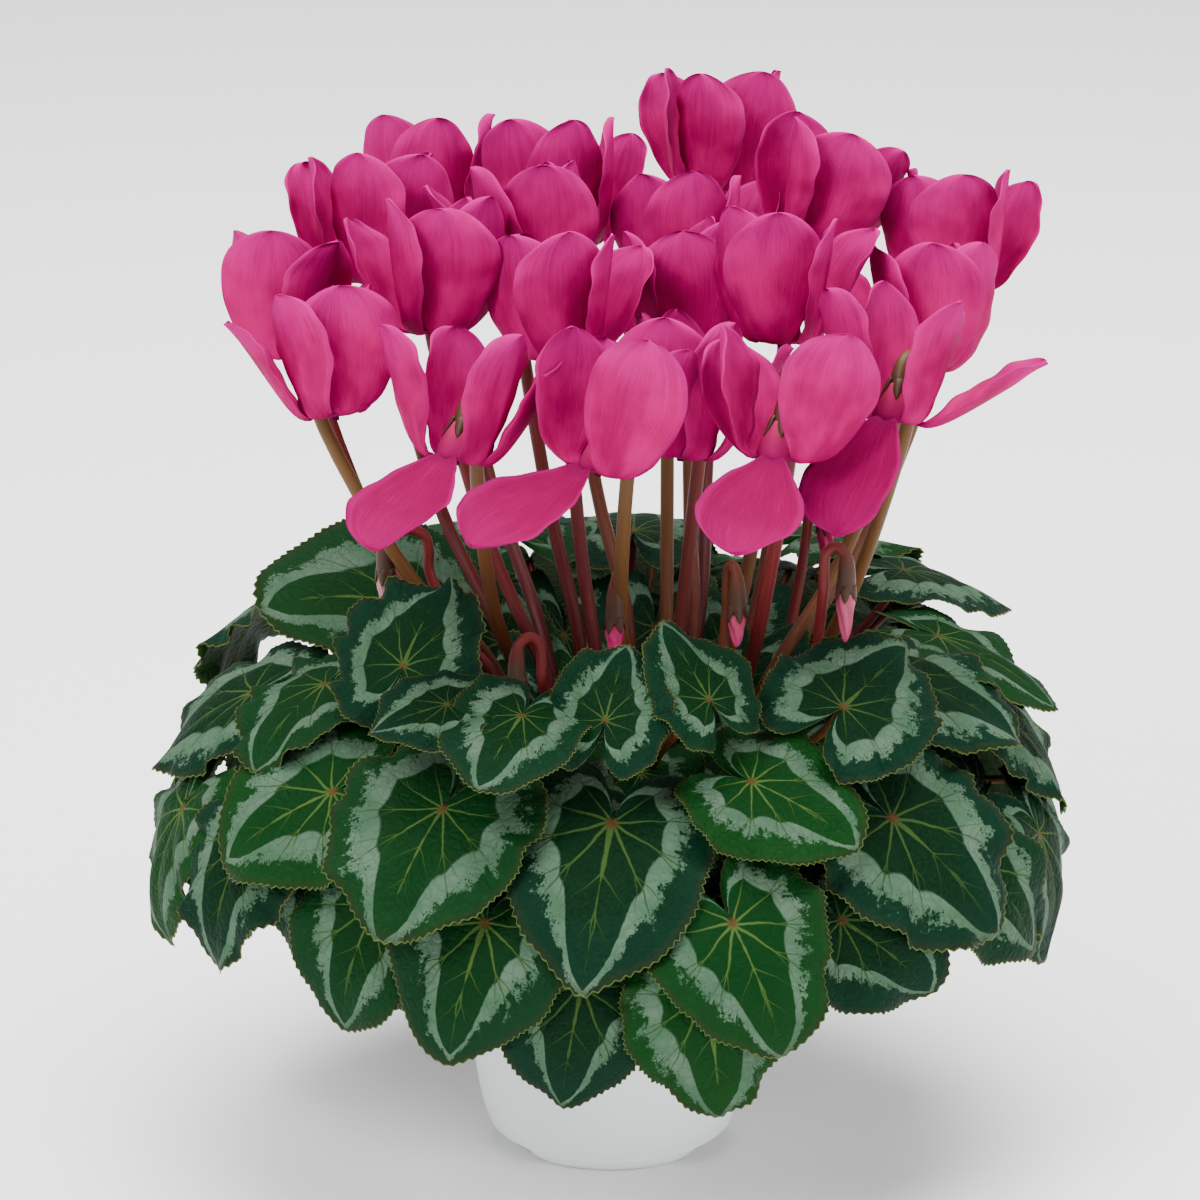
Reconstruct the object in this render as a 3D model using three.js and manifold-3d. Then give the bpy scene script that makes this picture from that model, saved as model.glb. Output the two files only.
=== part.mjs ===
import * as THREE from "three";
import Module from "manifold-3d";

const wasm = await Module();
wasm.setup();

// Potted cyclamen, in millimetres. Up is +Z, the pot stands on z = 0 and its axis is the Z axis.
// The side that faces -Y is the front.

// Driving dimensions of the pot
const POT_HEIGHT = 92;
const POT_SIDES = 36;
const WALL = 1.2;
const FOOT_RADIUS = 36;
const SHOULDER_RADIUS = 44.4;
const RIM_RADIUS = 51.5;
const LIP_RADIUS = 54;
const FLOOR_UNDERSIDE = 4.4;
const FOOT_GAP_HEIGHT = 4.9;
const DRAIN_HOLES = 5;
const DRAIN_RADIUS = 4;
const DRAIN_CIRCLE = 22;

// Soil and tuber
const FIT = 0.4;
const SOIL_TOP = 83;
const TUBER_RADIUS = 22.5;
const TUBER_HALF_HEIGHT = 14;
const TUBER_Z = 80;

// Stalks
const PETIOLE_RADIUS = 1.5;
const STALK_RADIUS = 2.2;
const BUD_STALK_RADIUS = 1.7;
const STALK_SIDES = 5;

// Blades and petals
const BLADE = 1.0;
const BLADE_CLEARANCE = 3;
const TIP_SPREAD = 0.75;
const TIP_BLUNTNESS = 1.15;
const PETAL = 0.8;
const PETAL_WIDTH = 28.5;
const TUBE_HEIGHT = 12;
const JOINT_GAP = 0.35;
const PETIOLE_GAP = 0.75;

// The crown of leaves is a flattened dome about this point. Its radius is given at every 15 degrees
// down from straight up; it is drawn in a little at the front and back, and is higher at the back.
const HEART = new THREE.Vector3(0, 0, 60);
const CROWN = [104, 112, 131, 147, 154, 149, 127, 107, 95, 90, 90, 90, 90, 90];
const DEG = Math.PI / 180;

// Leaves from the lowest to the highest: node, degrees down from the top and degrees round from the
// front at the leaf stalk, turn of the tip off straight down, length, breadth, tilt, roll, lift.
const LEAVES = [
  ["leaf_01", 71, -4, -11, 46, 0.51, 0.2, 0, 0],
  ["leaf_02", 72, 12, 9, 45, 0.51, 0.2, 0, 0],
  ["leaf_03", 66, 33, 45, 42, 0.53, 0.2, 0, 0],
  ["leaf_04", 64, -34, -11, 45, 0.52, 0.2, 0, 0],
  ["leaf_05", 65, -76, 8, 46, 0.56, 0.2, 0, -1],
  ["leaf_05", 62, -57, 0, 44, 0.53, 0.2, 0, 0],
  ["leaf_06", 66, 58, 30, 42, 0.52, 0.2, 0, 0],
  ["leaf_06", 68, 76, 0, 46, 0.58, 0.2, 0, 0],
  ["leaf_07", 70, 102, 6, 48, 0.58, 0.2, 0, 0],
  ["leaf_07", 67, 121, -6, 48, 0.58, 0.2, 0, 0],
  ["leaf_08", 70, 148, 10, 46, 0.58, 0.2, 0, 0],
  ["leaf_08", 68, 163, -8, 46, 0.58, 0.2, 0, 0],
  ["leaf_09", 71, -171, 8, 46, 0.58, 0.2, 0, 0],
  ["leaf_09", 68, -152, -6, 46, 0.58, 0.2, 0, 0],
  ["leaf_10", 69, -127, 6, 46, 0.58, 0.2, 0, 0],
  ["leaf_10", 67, -107, -8, 44, 0.56, 0.16, 0, 0],
  ["leaf_11", 64, -17, -12, 46, 0.56, 0.18, 0, 0],
  ["leaf_12", 64, 16, 18, 44, 0.55, 0.18, 0, 0],
  ["leaf_13", 56, 44, 26, 50, 0.6, 0.16, 0, 0],
  ["leaf_14", 53, -46, -40, 42, 0.62, 0.16, 0, 0],
  ["leaf_15", 54, 86, 8, 44, 0.58, 0.16, 0, 0],
  ["leaf_15", 52, 106, -6, 44, 0.58, 0.16, 0, 0],
  ["leaf_16", 52, 129, 8, 46, 0.6, 0.16, 0, 0],
  ["leaf_16", 50, 149, -6, 46, 0.6, 0.16, 0, 0],
  ["leaf_17", 51, 173, 6, 43, 0.6, 0.08, 0, 0],
  ["leaf_17", 52, -167, -6, 43, 0.58, 0.1, 0, 0],
  ["leaf_18", 50, -143, 6, 45, 0.6, 0.14, 0, 0],
  ["leaf_18", 52, -122, -8, 46, 0.58, 0.14, 0, 0],
  ["leaf_19", 50, -84, -20, 44, 0.62, 0.2, 0, 0],
  ["leaf_20", 51, 0, -10, 52, 0.54, 0.16, 0, 0],
  ["leaf_21", 52, -25, -10, 40, 0.7, 0.2, 0, 0],
  ["leaf_22", 48, 22, 46, 34, 0.6, 0.16, 0, 0],
  ["leaf_23", 41, 65, 20, 40, 0.6, 0.2, 0, 0],
  ["leaf_23", 43, 88, -10, 38, 0.6, 0.2, 0, 0],
  ["leaf_24", 43, 40, 110, 32, 0.66, 0.15, 0, 0],
  ["leaf_25", 42, -64, 20, 34, 0.64, 0.2, 0, 0],
  ["leaf_26", 41, 113, 8, 38, 0.6, 0.25, 0, 2],
  ["leaf_26", 38, 135, -8, 38, 0.6, 0.25, 0, 2],
  ["leaf_27", 31, 174, 6, 40, 0.6, 0.25, 0, 6],
  ["leaf_27", 32, -155, -4, 40, 0.6, 0.25, 0, 6],
  ["leaf_28", 29, -102, 4, 40, 0.66, 0.3, -0.75, 0],
  ["leaf_29", 37, -42, -172, 28, 0.72, 0.65, 0, 0],
  ["leaf_30", 42, -1, 166, 20, 0.74, 0.6, 0, 0],
  ["leaf_30", 40, 16, -160, 22, 0.62, 0.6, 0.2, 0],
  ["leaf_30", 42, -14, -12, 24, 0.68, 0.25, 0, 0],
  ["leaf_30", 42, -26, -50, 19, 0.7, 0.2, 0.2, 0],
];

// Least distance between neighbouring blooms of one height, and how much less it is for a bloom that
// stands higher, for each millimetre
const BLOOM_SPACING = 42;
const SPACING_FALL = 0.15;

// Blooms: node; mouth x, y, z; the way the mouth faces, degrees round from the front, and its tip-up;
// where its stalk passes the crown, x and y; petal length; lean of the five petals off upright,
// from the back left one round the front to the back right one.
const BLOOMS = [
  ["bloom_01", -85, -36, 255, 32, 18, -38, -12, 44, [14, 10, 8, 8, 8]],
  ["bloom_02", -47, -67, 250, -30, 20, -30, -20, 45, [12, 24, 132, 14, 8]],
  ["bloom_03", -4, -78, 250, -50, 18, 5, -28, 47, [12, 10, 126, 9, 8]],
  ["bloom_04", 30, -27, 241, -32, 14, 20, -24, 48, [7, 6, 10, 6, 7]],
  ["bloom_05", 50, -76, 253, -20, 16, 42, -28, 44, [12, 12, 132, 14, 16]],
  ["bloom_06", 86, -52, 258, -28, 16, 64, -16, 46, [10, 20, 142, 14, 52]],
  ["bloom_07", -54, -11, 275, 14, 10, -20, -28, 46, [7, 5, 10, 8, 8]],
  ["bloom_08", -15, -22, 269, 0, 12, -4, -24, 45, [8, 8, 12, 7, 8]],
  ["bloom_09", 21, 14, 260, 15, 12, 17, -6, 47, [12, 8, 8, 8, 10]],
  ["bloom_10", 44, -18, 272, -10, 12, 36, -12, 45, [10, 7, 8, 8, 10]],
  ["bloom_11", 98, 4, 258, 10, 12, 52, -16, 45, [12, 8, 8, 12, 10]],
  ["bloom_12", 31, 59, 265, 4, 12, 26, 6, 49, [7, 7, 8, 7, 7]],
  ["bloom_13", 60, 59, 286, -60, 22, 44, 10, 43, [8, 12, 14, 10, 10]],
  ["bloom_14", 113, 49, 272, 0, 14, 60, 6, 44, [10, 10, 8, 6, 6]],
  ["bloom_15", 34, 105, 292, -20, 12, 28, 20, 46, [12, 10, 10, 10, 12]],
  ["bloom_16", -15, 72, 281, 8, 12, 6, 16, 47, [12, 10, 10, 8, 8]],
  ["bloom_17", -26, 25, 276, 25, 12, -10, 8, 49, [9, 9, 10, 8, 8]],
  ["bloom_18", -57, 98, 277, 0, 12, -22, 16, 47, [12, 10, 10, 10, 12]],
  ["bloom_19", -79, 44, 276, -10, 14, -34, 6, 47, [12, 12, 12, 10, 10]],
  ["bloom_20", -101, 15, 259, -30, 16, -46, -12, 45, [16, 16, 12, 10, 12]],
];

// Buds: x, y, z at the foot of the calyx, the side its stalk rises on, degrees round from the front,
// reach of the hook, where its stalk passes the crown, bud length
const BUDS = [
  [-71, -20, 199, 105, 14, -36, -26, 12],
  [-71, -35, 184, 100, 11, -42, -32, 11],
  [-29, -60, 177, 110, 8, -18, -42, 11],
  [1, -55, 195, 160, 6, 2, -40, 13],
  [39, -45, 195, -150, 6, 33, -36, 12],
  [72, -58, 206, -100, 7, 62, -34, 17],
  [69, 10, 206, -100, 6, 56, 4, 13],
];

// A repeatable draw from 0 to 1
function draws(seed) {
  let state = seed;
  return () => {
    state = (state * 16807) % 2147483647;
    return state / 2147483647;
  };
}

function meshOf(points, faces) {
  const g = new THREE.BufferGeometry();
  g.setAttribute("position", new THREE.Float32BufferAttribute(points.flat(), 3));
  g.setIndex(faces.flat());
  return g;
}

function solid(geometry) {
  const p = geometry.getAttribute("position");
  const keys = new Map();
  const points = [];
  const where = [];
  for (let i = 0; i < p.count; i++) {
    const v = [p.getX(i), p.getY(i), p.getZ(i)];
    const key = v.map((c) => Math.round(c * 2000)).join();
    if (!keys.has(key)) {
      keys.set(key, points.length / 3);
      points.push(...v);
    }
    where.push(keys.get(key));
  }
  const faces = [];
  const index = geometry.index ? geometry.index.array : where.map((_, i) => i);
  for (let i = 0; i < index.length; i += 3) {
    const [a, b, c] = [where[index[i]], where[index[i + 1]], where[index[i + 2]]];
    if (a !== b && b !== c && a !== c) faces.push(a, b, c);
  }
  return new wasm.Manifold(
    new wasm.Mesh({
      numProp: 3,
      vertProperties: new Float32Array(points),
      triVerts: new Uint32Array(faces),
    }),
  );
}

function geometryOf(made) {
  const m = made.getMesh();
  const v = [];
  for (let i = 0; i < m.numVert; i++) {
    for (let k = 0; k < 3; k++) v.push(m.vertProperties[i * m.numProp + k]);
  }
  const g = new THREE.BufferGeometry();
  g.setAttribute("position", new THREE.Float32BufferAttribute(v, 3));
  g.setIndex(Array.from(m.triVerts));
  return g;
}

function turned(profile, sides) {
  const g = new THREE.LatheGeometry(
    profile.map(([r, z]) => new THREE.Vector2(r, z)),
    sides,
  );
  g.rotateX(Math.PI / 2);
  return solid(g);
}

// A round bar along a line of points, with one radius for each
function bar(points, radii, sides, lastAcross) {
  const verts = [];
  const faces = [];
  const n = points.length;
  let across = new THREE.Vector3(0.31, 0.95, 0.05);
  points.forEach((p, i) => {
    const tangent = points[Math.min(i + 1, n - 1)].clone().sub(points[Math.max(i - 1, 0)]).normalize();
    if (i === n - 1 && lastAcross) tangent.copy(lastAcross);
    across = across.clone().addScaledVector(tangent, -across.dot(tangent)).normalize();
    const other = tangent.clone().cross(across);
    for (let k = 0; k < sides; k++) {
      const a = (2 * Math.PI * k) / sides;
      const v = p.clone();
      v.addScaledVector(across, radii[i] * Math.cos(a));
      v.addScaledVector(other, radii[i] * Math.sin(a));
      verts.push(v.toArray());
    }
  });
  for (let i = 0; i + 1 < n; i++) {
    for (let k = 0; k < sides; k++) {
      const a = i * sides + k;
      const b = i * sides + ((k + 1) % sides);
      faces.push([a, b, b + sides], [a, b + sides, a + sides]);
    }
  }
  for (let k = 1; k + 1 < sides; k++) {
    const e = (n - 1) * sides;
    faces.push([0, k + 1, k], [e, e + k, e + k + 1]);
  }
  return meshOf(verts, faces);
}

// The dome of leaves
function crownRadius(u) {
  const theta = Math.acos(Math.max(-1, Math.min(1, u.z)));
  const x = theta / DEG / 15;
  const i = Math.floor(x);
  const f = x - i;
  const [a, b, c, d] = [CROWN[Math.abs(i - 1)], CROWN[i], CROWN[i + 1], CROWN[Math.min(i + 2, 13)]];
  const bend = 2 * b + (c - a) * f + (2 * a - 5 * b + 4 * c - d) * f * f + (3 * b - a - 3 * c + d) * f ** 3;
  const s = Math.sin(theta);
  const front = s > 1e-9 ? -u.y / s : 0;
  const r = 0.5 * bend * (1 - 0.1 * front * front * s * s);
  return r - 14.4 * front * s * Math.max(u.z, 0);
}

function onSphere(theta, az) {
  const s = Math.sin(theta * DEG);
  return new THREE.Vector3(s * Math.sin(az * DEG), -s * Math.cos(az * DEG), Math.cos(theta * DEG));
}

const draw = draws(4711);
const leaves = LEAVES.map(([node, theta, az, turn, length, breadth, tilt, roll, lift]) => {
  const out = onSphere(theta, az);
  const down = onSphere(theta + 90, az);
  const side = new THREE.Vector3(Math.cos(az * DEG), Math.sin(az * DEG), 0);
  const tip = down.multiplyScalar(Math.cos(turn * DEG)).addScaledVector(side, Math.sin(turn * DEG));
  return {
    node,
    theta,
    out,
    tip,
    side: out.clone().cross(tip),
    reach: crownRadius(out),
    length,
    breadth,
    tilt,
    roll,
    lift,
    rise: 0,
    waves: 5 + Math.floor(draw() * 3),
    phase: 2 * Math.PI * draw(),
    wave: 0.03 + 0.02 * draw(),
    droop: 0.03 + 0.05 * draw(),
    fold: 0.04 + 0.06 * draw(),
    sinus: 0.26 + 0.08 * draw(),
  };
});

// Heart-shaped outline about the leaf stalk: radius at an angle off the tip
function outline(leaf, phi) {
  const a = Math.abs(phi);
  const heart = leaf.breadth + (1 - leaf.breadth) * Math.exp(-((a / TIP_SPREAD) ** TIP_BLUNTNESS));
  const notch = 1 - 0.93 * Math.exp(-(((Math.PI - a) / leaf.sinus) ** 2));
  return leaf.length * heart * notch;
}

function bladeRadius(leaf, u, ring, phi, x, y) {
  const share = ring * ring * Math.min(Math.hypot(x, y) / (0.4 * leaf.length), 1);
  const relief = leaf.length * share * (leaf.wave * Math.sin(leaf.waves * phi + leaf.phase) - leaf.droop);
  const slope = leaf.tilt * y + leaf.roll * x + leaf.fold * Math.abs(x);
  return crownRadius(u) + leaf.lift + leaf.rise + slope + relief;
}

function bladeAt(leaf, ring, phi) {
  const r = ring * outline(leaf, phi);
  const x = r * Math.sin(phi);
  const y = r * Math.cos(phi);
  const u = leaf.out.clone().multiplyScalar(leaf.reach);
  u.addScaledVector(leaf.side, x).addScaledVector(leaf.tip, y).normalize();
  return { u, radius: bladeRadius(leaf, u, ring, phi, x, y) };
}

function bladeOver(leaf, u) {
  const c = u.dot(leaf.out);
  if (c < 0.3) return null;
  const x = (u.dot(leaf.side) * leaf.reach) / c;
  const y = (u.dot(leaf.tip) * leaf.reach) / c;
  const phi = Math.atan2(x, y);
  const ring = Math.hypot(x, y) / outline(leaf, phi);
  if (ring > 1.06) return null;
  return bladeRadius(leaf, u, ring, phi, x, y);
}

function samples(leaf) {
  const list = [bladeAt(leaf, 0, 0)];
  for (const ring of [0.3, 0.55, 0.8, 1]) {
    for (let k = 0; k < 24; k++) list.push(bladeAt(leaf, ring, -Math.PI + (2 * Math.PI * (k + 0.5)) / 24));
  }
  return list;
}

// Each blade is lifted clear of every lower one it laps over. Blades of one node rise together.
for (const node of new Set(leaves.map((leaf) => leaf.node))) {
  const own = leaves.filter((leaf) => leaf.node === node);
  const first = leaves.indexOf(own[0]);
  let rise = 0;
  for (const leaf of own) {
    const mine = samples(leaf);
    for (const lower of leaves.slice(0, first)) {
      for (const s of mine) {
        const under = bladeOver(lower, s.u);
        if (under !== null) rise = Math.max(rise, under + BLADE_CLEARANCE - s.radius);
      }
      for (const s of samples(lower)) {
        const over = bladeOver(leaf, s.u);
        if (over !== null) rise = Math.max(rise, s.radius + BLADE_CLEARANCE - over);
      }
    }
  }
  for (const leaf of own) leaf.rise = rise;
}

function bladePoint(leaf, ring, phi, below) {
  const { u, radius } = bladeAt(leaf, ring, phi);
  return HEART.clone().addScaledVector(u, radius - below);
}

const RIM_ANGLES = [0, 18, 42, 70, 100, 132, 162];
const RING_ANGLES = [0, 48, 100, 150];

function bladeGeometry(leaf) {
  const verts = [];
  const both = (list) => [...list.slice(1).map((a) => -a).reverse(), ...list];
  const put = (ring, angle) => {
    verts.push(bladePoint(leaf, ring, angle * DEG, 0).toArray());
    verts.push(bladePoint(leaf, ring, angle * DEG, BLADE).toArray());
    return verts.length / 2 - 1;
  };
  const centre = put(0, 0);
  const ring = both(RING_ANGLES).map((a) => put(0.55, a));
  const rim = both(RIM_ANGLES).map((a) => put(1, a));
  const notch = put(1, 180);
  const flat = [];
  for (let i = 0; i + 1 < ring.length; i++) {
    flat.push([centre, ring[i], ring[i + 1]]);
    flat.push([ring[i], rim[2 * i], rim[2 * i + 1]]);
    flat.push([ring[i], rim[2 * i + 1], ring[i + 1]]);
    flat.push([ring[i + 1], rim[2 * i + 1], rim[2 * i + 2]]);
  }
  const last = ring.length - 1;
  flat.push([centre, ring[last], rim[2 * last]]);
  flat.push([centre, rim[2 * last], notch]);
  flat.push([centre, notch, rim[0]]);
  flat.push([centre, rim[0], ring[0]]);
  const faces = [];
  for (const [a, b, c] of flat) faces.push([2 * a, 2 * b, 2 * c], [2 * a + 1, 2 * c + 1, 2 * b + 1]);
  const edge = [...rim, notch];
  edge.forEach((a, i) => {
    const b = edge[(i + 1) % edge.length];
    faces.push([2 * a, 2 * a + 1, 2 * b + 1], [2 * a, 2 * b + 1, 2 * b]);
  });
  return meshOf(verts, faces);
}

function bladeSolid(leaf) {
  return solid(bladeGeometry(leaf));
}

// A bloom's own frame: up the tube, to its front, and to its right
function bloomFrame(yaw, lean) {
  const face = new THREE.Vector3(Math.sin(yaw * DEG), -Math.cos(yaw * DEG), 0);
  const z = new THREE.Vector3(0, 0, 1);
  return {
    up: z.clone().multiplyScalar(Math.cos(lean * DEG)).addScaledVector(face, -Math.sin(lean * DEG)),
    front: face.clone().multiplyScalar(Math.cos(lean * DEG)).addScaledVector(z, Math.sin(lean * DEG)),
    right: new THREE.Vector3(Math.cos(yaw * DEG), Math.sin(yaw * DEG), 0),
  };
}

function petalWidth(t, width) {
  const full = Math.sin(Math.PI * t ** 1.6) ** 0.55;
  return (width / 2) * (0.2 * (1 - t) + full * (0.86 + 0.12 * t));
}

// Middle line of a petal, in the plane through the bloom's axis: steps of one fortieth
function petalLine(petal) {
  const line = [[6.2, 0.8, 140]];
  let [r, h] = line[0];
  for (let i = 0; i < 40; i++) {
    const t = (i + 0.5) / 40;
    const heading = petal.lean + (140 - petal.lean) * Math.exp(-t / 0.085) + petal.curl * (t - 0.4);
    r += (petal.length / 40) * Math.sin(heading * DEG);
    h += (petal.length / 40) * Math.cos(heading * DEG);
    line.push([r, h, heading]);
  }
  return line;
}

function petalAt(petal, frame, t, s, side) {
  const step = Math.min(Math.round(t * 40), 40);
  const [r, h, heading] = petal.line[step];
  const a = petal.az * DEG;
  const out = frame.front.clone().multiplyScalar(Math.cos(a)).addScaledVector(frame.right, Math.sin(a));
  const across = frame.front.clone().multiplyScalar(-Math.sin(a)).addScaledVector(frame.right, Math.cos(a));
  const along = out.clone().multiplyScalar(Math.sin(heading * DEG));
  along.addScaledVector(frame.up, Math.cos(heading * DEG));
  const normal = along.clone().cross(across);
  const twist = petal.twist * Math.min(t / 0.22, 1) * DEG;
  const wide = across.clone().multiplyScalar(Math.cos(twist)).addScaledVector(normal, Math.sin(twist));
  const thick = normal.clone().multiplyScalar(Math.cos(twist)).addScaledVector(across, -Math.sin(twist));
  const w = petalWidth(t, petal.width);
  const dish = petal.cup * s * s * w + petal.wave * s * Math.sin(2 * Math.PI * (1.3 * t + petal.phase)) * t;
  const p = out.clone().multiplyScalar(r).addScaledVector(frame.up, h);
  return p.addScaledVector(wide, s * w).addScaledVector(thick, dish + side * PETAL * 0.5);
}

const PETAL_STEPS = [8, 22, 35];
const TUBE_ANGLES = [-160, -96, -32, 32, 96, 160];
const TUBE_RINGS = [[6.3, 0], [6.6, 1.6], [5, 8], [3.2, TUBE_HEIGHT]];
const MOUTH_DEPTH = 1.3;

// A bloom: a six-sided tube with a hollowed mouth, and a petal grown out of each side but the back one
function bloomGeometry(petals, frame) {
  const verts = [];
  const faces = [];
  const put = (p) => verts.push(p.toArray()) - 1;
  const quad = (a, b, c, d) => faces.push([a, b, c], [a, c, d]);
  const ring = TUBE_RINGS.map(([r, z]) =>
    TUBE_ANGLES.map((angle) => {
      const p = frame.front.clone().multiplyScalar(r * Math.cos(angle * DEG));
      return put(p.addScaledVector(frame.right, r * Math.sin(angle * DEG)).addScaledVector(frame.up, z));
    }),
  );
  const mouth = put(frame.up.clone().multiplyScalar(MOUTH_DEPTH));
  TUBE_ANGLES.forEach((_, i) => {
    const j = (i + 1) % TUBE_ANGLES.length;
    faces.push([ring[0][j], ring[0][i], mouth]);
    quad(ring[1][i], ring[1][j], ring[2][j], ring[2][i]);
    quad(ring[2][i], ring[2][j], ring[3][j], ring[3][i]);
    if (i > 0 && j > 0) faces.push([ring[3][0], ring[3][i], ring[3][j]]);
    if (i === petals.length) quad(ring[0][i], ring[0][j], ring[1][j], ring[1][i]);
  });
  petals.forEach((petal, k) => {
    const [a, b, c, d] = [ring[0][k], ring[0][k + 1], ring[1][k + 1], ring[1][k]];
    const row = (t, face) => [-1, 0, 1].map((s) => put(petalAt(petal, frame, t, s, face)));
    const outer = PETAL_STEPS.map((step) => row(step / 40, -1));
    const inner = PETAL_STEPS.map((step) => row(step / 40, 1));
    const [tipOut, tipIn] = [-1, 1].map((face) => put(petalAt(petal, frame, 1, 0, face)));
    const [L, C, R] = outer[0];
    const [l, m, r] = inner[0];
    faces.push([a, b, C], [b, R, C], [a, C, L], [c, d, m], [d, l, m], [c, m, r]);
    quad(a, L, l, d);
    quad(b, c, r, R);
    for (let i = 0; i + 1 < outer.length; i++) {
      const [o, p] = [outer[i], outer[i + 1]];
      const [q, s] = [inner[i], inner[i + 1]];
      quad(o[0], o[1], p[1], p[0]);
      quad(o[1], o[2], p[2], p[1]);
      quad(q[1], q[0], s[0], s[1]);
      quad(q[2], q[1], s[1], s[2]);
      quad(q[0], o[0], p[0], s[0]);
      quad(o[2], q[2], s[2], p[2]);
    }
    const [o, q] = [outer[outer.length - 1], inner[inner.length - 1]];
    faces.push([o[0], o[1], tipOut], [o[1], o[2], tipOut], [q[1], q[0], tipIn], [q[2], q[1], tipIn]);
    quad(q[0], o[0], tipOut, tipIn);
    quad(o[2], q[2], tipIn, tipOut);
  });
  return meshOf(verts, faces);
}

const bloomDraw = draws(90210);
const blooms = BLOOMS.map(([node, x, y, z, yaw, lean, wx, wy, length, leans], n) => {
  const frame = bloomFrame(yaw, lean);
  const spin = n % 2 ? 1 : -1;
  const petals = leans.map((value, k) => {
    const inner = k === (spin > 0 ? 4 : 0);
    const petal = {
      az: (inner ? spin * 116 : -128 + 64 * k) + 6 * (bloomDraw() - 0.5),
      lean: inner ? Math.max(value, 24) : value,
      length: length * (0.96 + 0.08 * bloomDraw()),
      width: PETAL_WIDTH + 2.5 * bloomDraw(),
      twist: spin * (value > 40 ? 6 : 22 + 5 * bloomDraw()) * (inner ? 0.2 : 1),
      curl: -14 + 24 * bloomDraw(),
      cup: 0.22 + 0.1 * bloomDraw(),
      wave: 0.8 * bloomDraw(),
      phase: bloomDraw(),
    };
    petal.line = petalLine(petal);
    return petal;
  });
  return { node, mouth: new THREE.Vector3(x, y, z), frame, petals, way: [wx, wy] };
});

// Blooms that would crowd each other are moved apart
for (let round = 0; round < 60; round++) {
  blooms.forEach((a, i) =>
    blooms.slice(i + 1).forEach((b) => {
      const away = [b.mouth.x - a.mouth.x, b.mouth.y - a.mouth.y];
      const gap = Math.hypot(...away);
      const lack = BLOOM_SPACING - SPACING_FALL * Math.abs(b.mouth.z - a.mouth.z) - gap;
      if (lack <= 0) return;
      const move = (0.25 * lack) / gap;
      a.mouth.x -= move * away[0];
      a.mouth.y -= move * away[1];
      b.mouth.x += move * away[0];
      b.mouth.y += move * away[1];
    }),
  );
}

function bloomSolid(bloom) {
  return solid(bloomGeometry(bloom.petals, bloom.frame)).translate(bloom.mouth.toArray());
}

// The way a blade faces at its stalk
function bladeNormal(leaf) {
  const along = bladePoint(leaf, 0.55, 0, 0).sub(bladePoint(leaf, 0, 0, 0));
  const over = bladePoint(leaf, 0.55, 100 * DEG, 0).sub(bladePoint(leaf, 0.55, -100 * DEG, 0));
  return along.cross(over).normalize();
}

// A leaf stalk, ended close under its blade
function petioleSolid(leaf) {
  const normal = bladeNormal(leaf);
  const end = bladePoint(leaf, 0, 0, BLADE).addScaledVector(normal, -PETIOLE_GAP);
  const flat = Math.hypot(end.x, end.y);
  const [cx, cy] = [end.x / flat, end.y / flat];
  const spread = 5 + 0.19 * leaf.theta;
  const root = new THREE.Vector3(spread * cx, spread * cy, 85);
  const rise = new THREE.Vector3(16 * cx, 16 * cy, 132);
  const meet = end.clone().addScaledVector(normal, -34);
  const curve = new THREE.CubicBezierCurve3(root, rise, meet, end);
  const points = [0, 0.4, 0.8, 1].map((t) => curve.getPoint(t));
  return solid(bar(points, [1, 1, 0.95, 0.85].map((k) => k * PETIOLE_RADIUS), 4, normal));
}

// Hook over a hanging head: up from its top, over to the side away from its face, and down
function hook(top, up, back, reach, height) {
  return [[1, 0], [0.9, 0.7], [0.5, 1], [0.1, 0.75], [0, 0.3]].map(([a, b]) =>
    top.clone().addScaledVector(back, a * reach).addScaledVector(up, b * height),
  );
}

function stalkPoints(way, last, fan) {
  const root = new THREE.Vector3(way[0] * fan, way[1] * fan, 88);
  const pass = new THREE.Vector3(way[0], way[1], 166);
  const high = pass.clone().lerp(last[0], 0.5);
  const lower = last[0].clone().sub(last[1]).normalize();
  high.addScaledVector(lower, 0.12 * pass.distanceTo(last[0]));
  return [root, pass, high, ...last];
}

function bloomStalk(bloom) {
  const { mouth, frame, way } = bloom;
  const top = mouth.clone().addScaledVector(frame.up, TUBE_HEIGHT + JOINT_GAP);
  const back = frame.front.clone().negate();
  const last = hook(top, frame.up, back, 11, 8);
  last.unshift(last[0].clone().addScaledVector(frame.up, -9).addScaledVector(back, 0.5));
  last.push(top);
  const points = stalkPoints(way, last, 0.3);
  const radii = points.map(() => STALK_RADIUS);
  radii[points.length - 1] = 3.1;
  radii[points.length - 2] = 3.1;
  return solid(bar(points, radii, STALK_SIDES, frame.up.clone().negate()));
}

function budFrame([x, y, z, side, reach]) {
  const back = new THREE.Vector3(Math.sin(side * DEG), -Math.cos(side * DEG), 0);
  return { foot: new THREE.Vector3(x, y, z), back, up: new THREE.Vector3(0, 0, 1), reach };
}

function budStalk(bud) {
  const { foot, back, up, reach } = budFrame(bud);
  const top = foot.clone().addScaledVector(up, 6);
  const last = hook(top, up, back, reach, 8);
  last.unshift(last[0].clone().addScaledVector(up, -6));
  last.push(foot.clone().addScaledVector(up, JOINT_GAP));
  const points = stalkPoints([bud[5], bud[6]], last, 0.34);
  const radii = points.map(() => BUD_STALK_RADIUS);
  radii[points.length - 1] = 3.2;
  radii[points.length - 2] = 2.6;
  return solid(bar(points, radii, STALK_SIDES, up.clone().negate()));
}

function budSolid(bud) {
  const length = bud[7];
  const profile = [[0, -length], [1.5, -length * 0.8], [2.7, -length * 0.35], [2.4, 0], [0, 0]];
  return turned(profile, 7).translate([bud[0], bud[1], bud[2]]);
}

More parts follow.
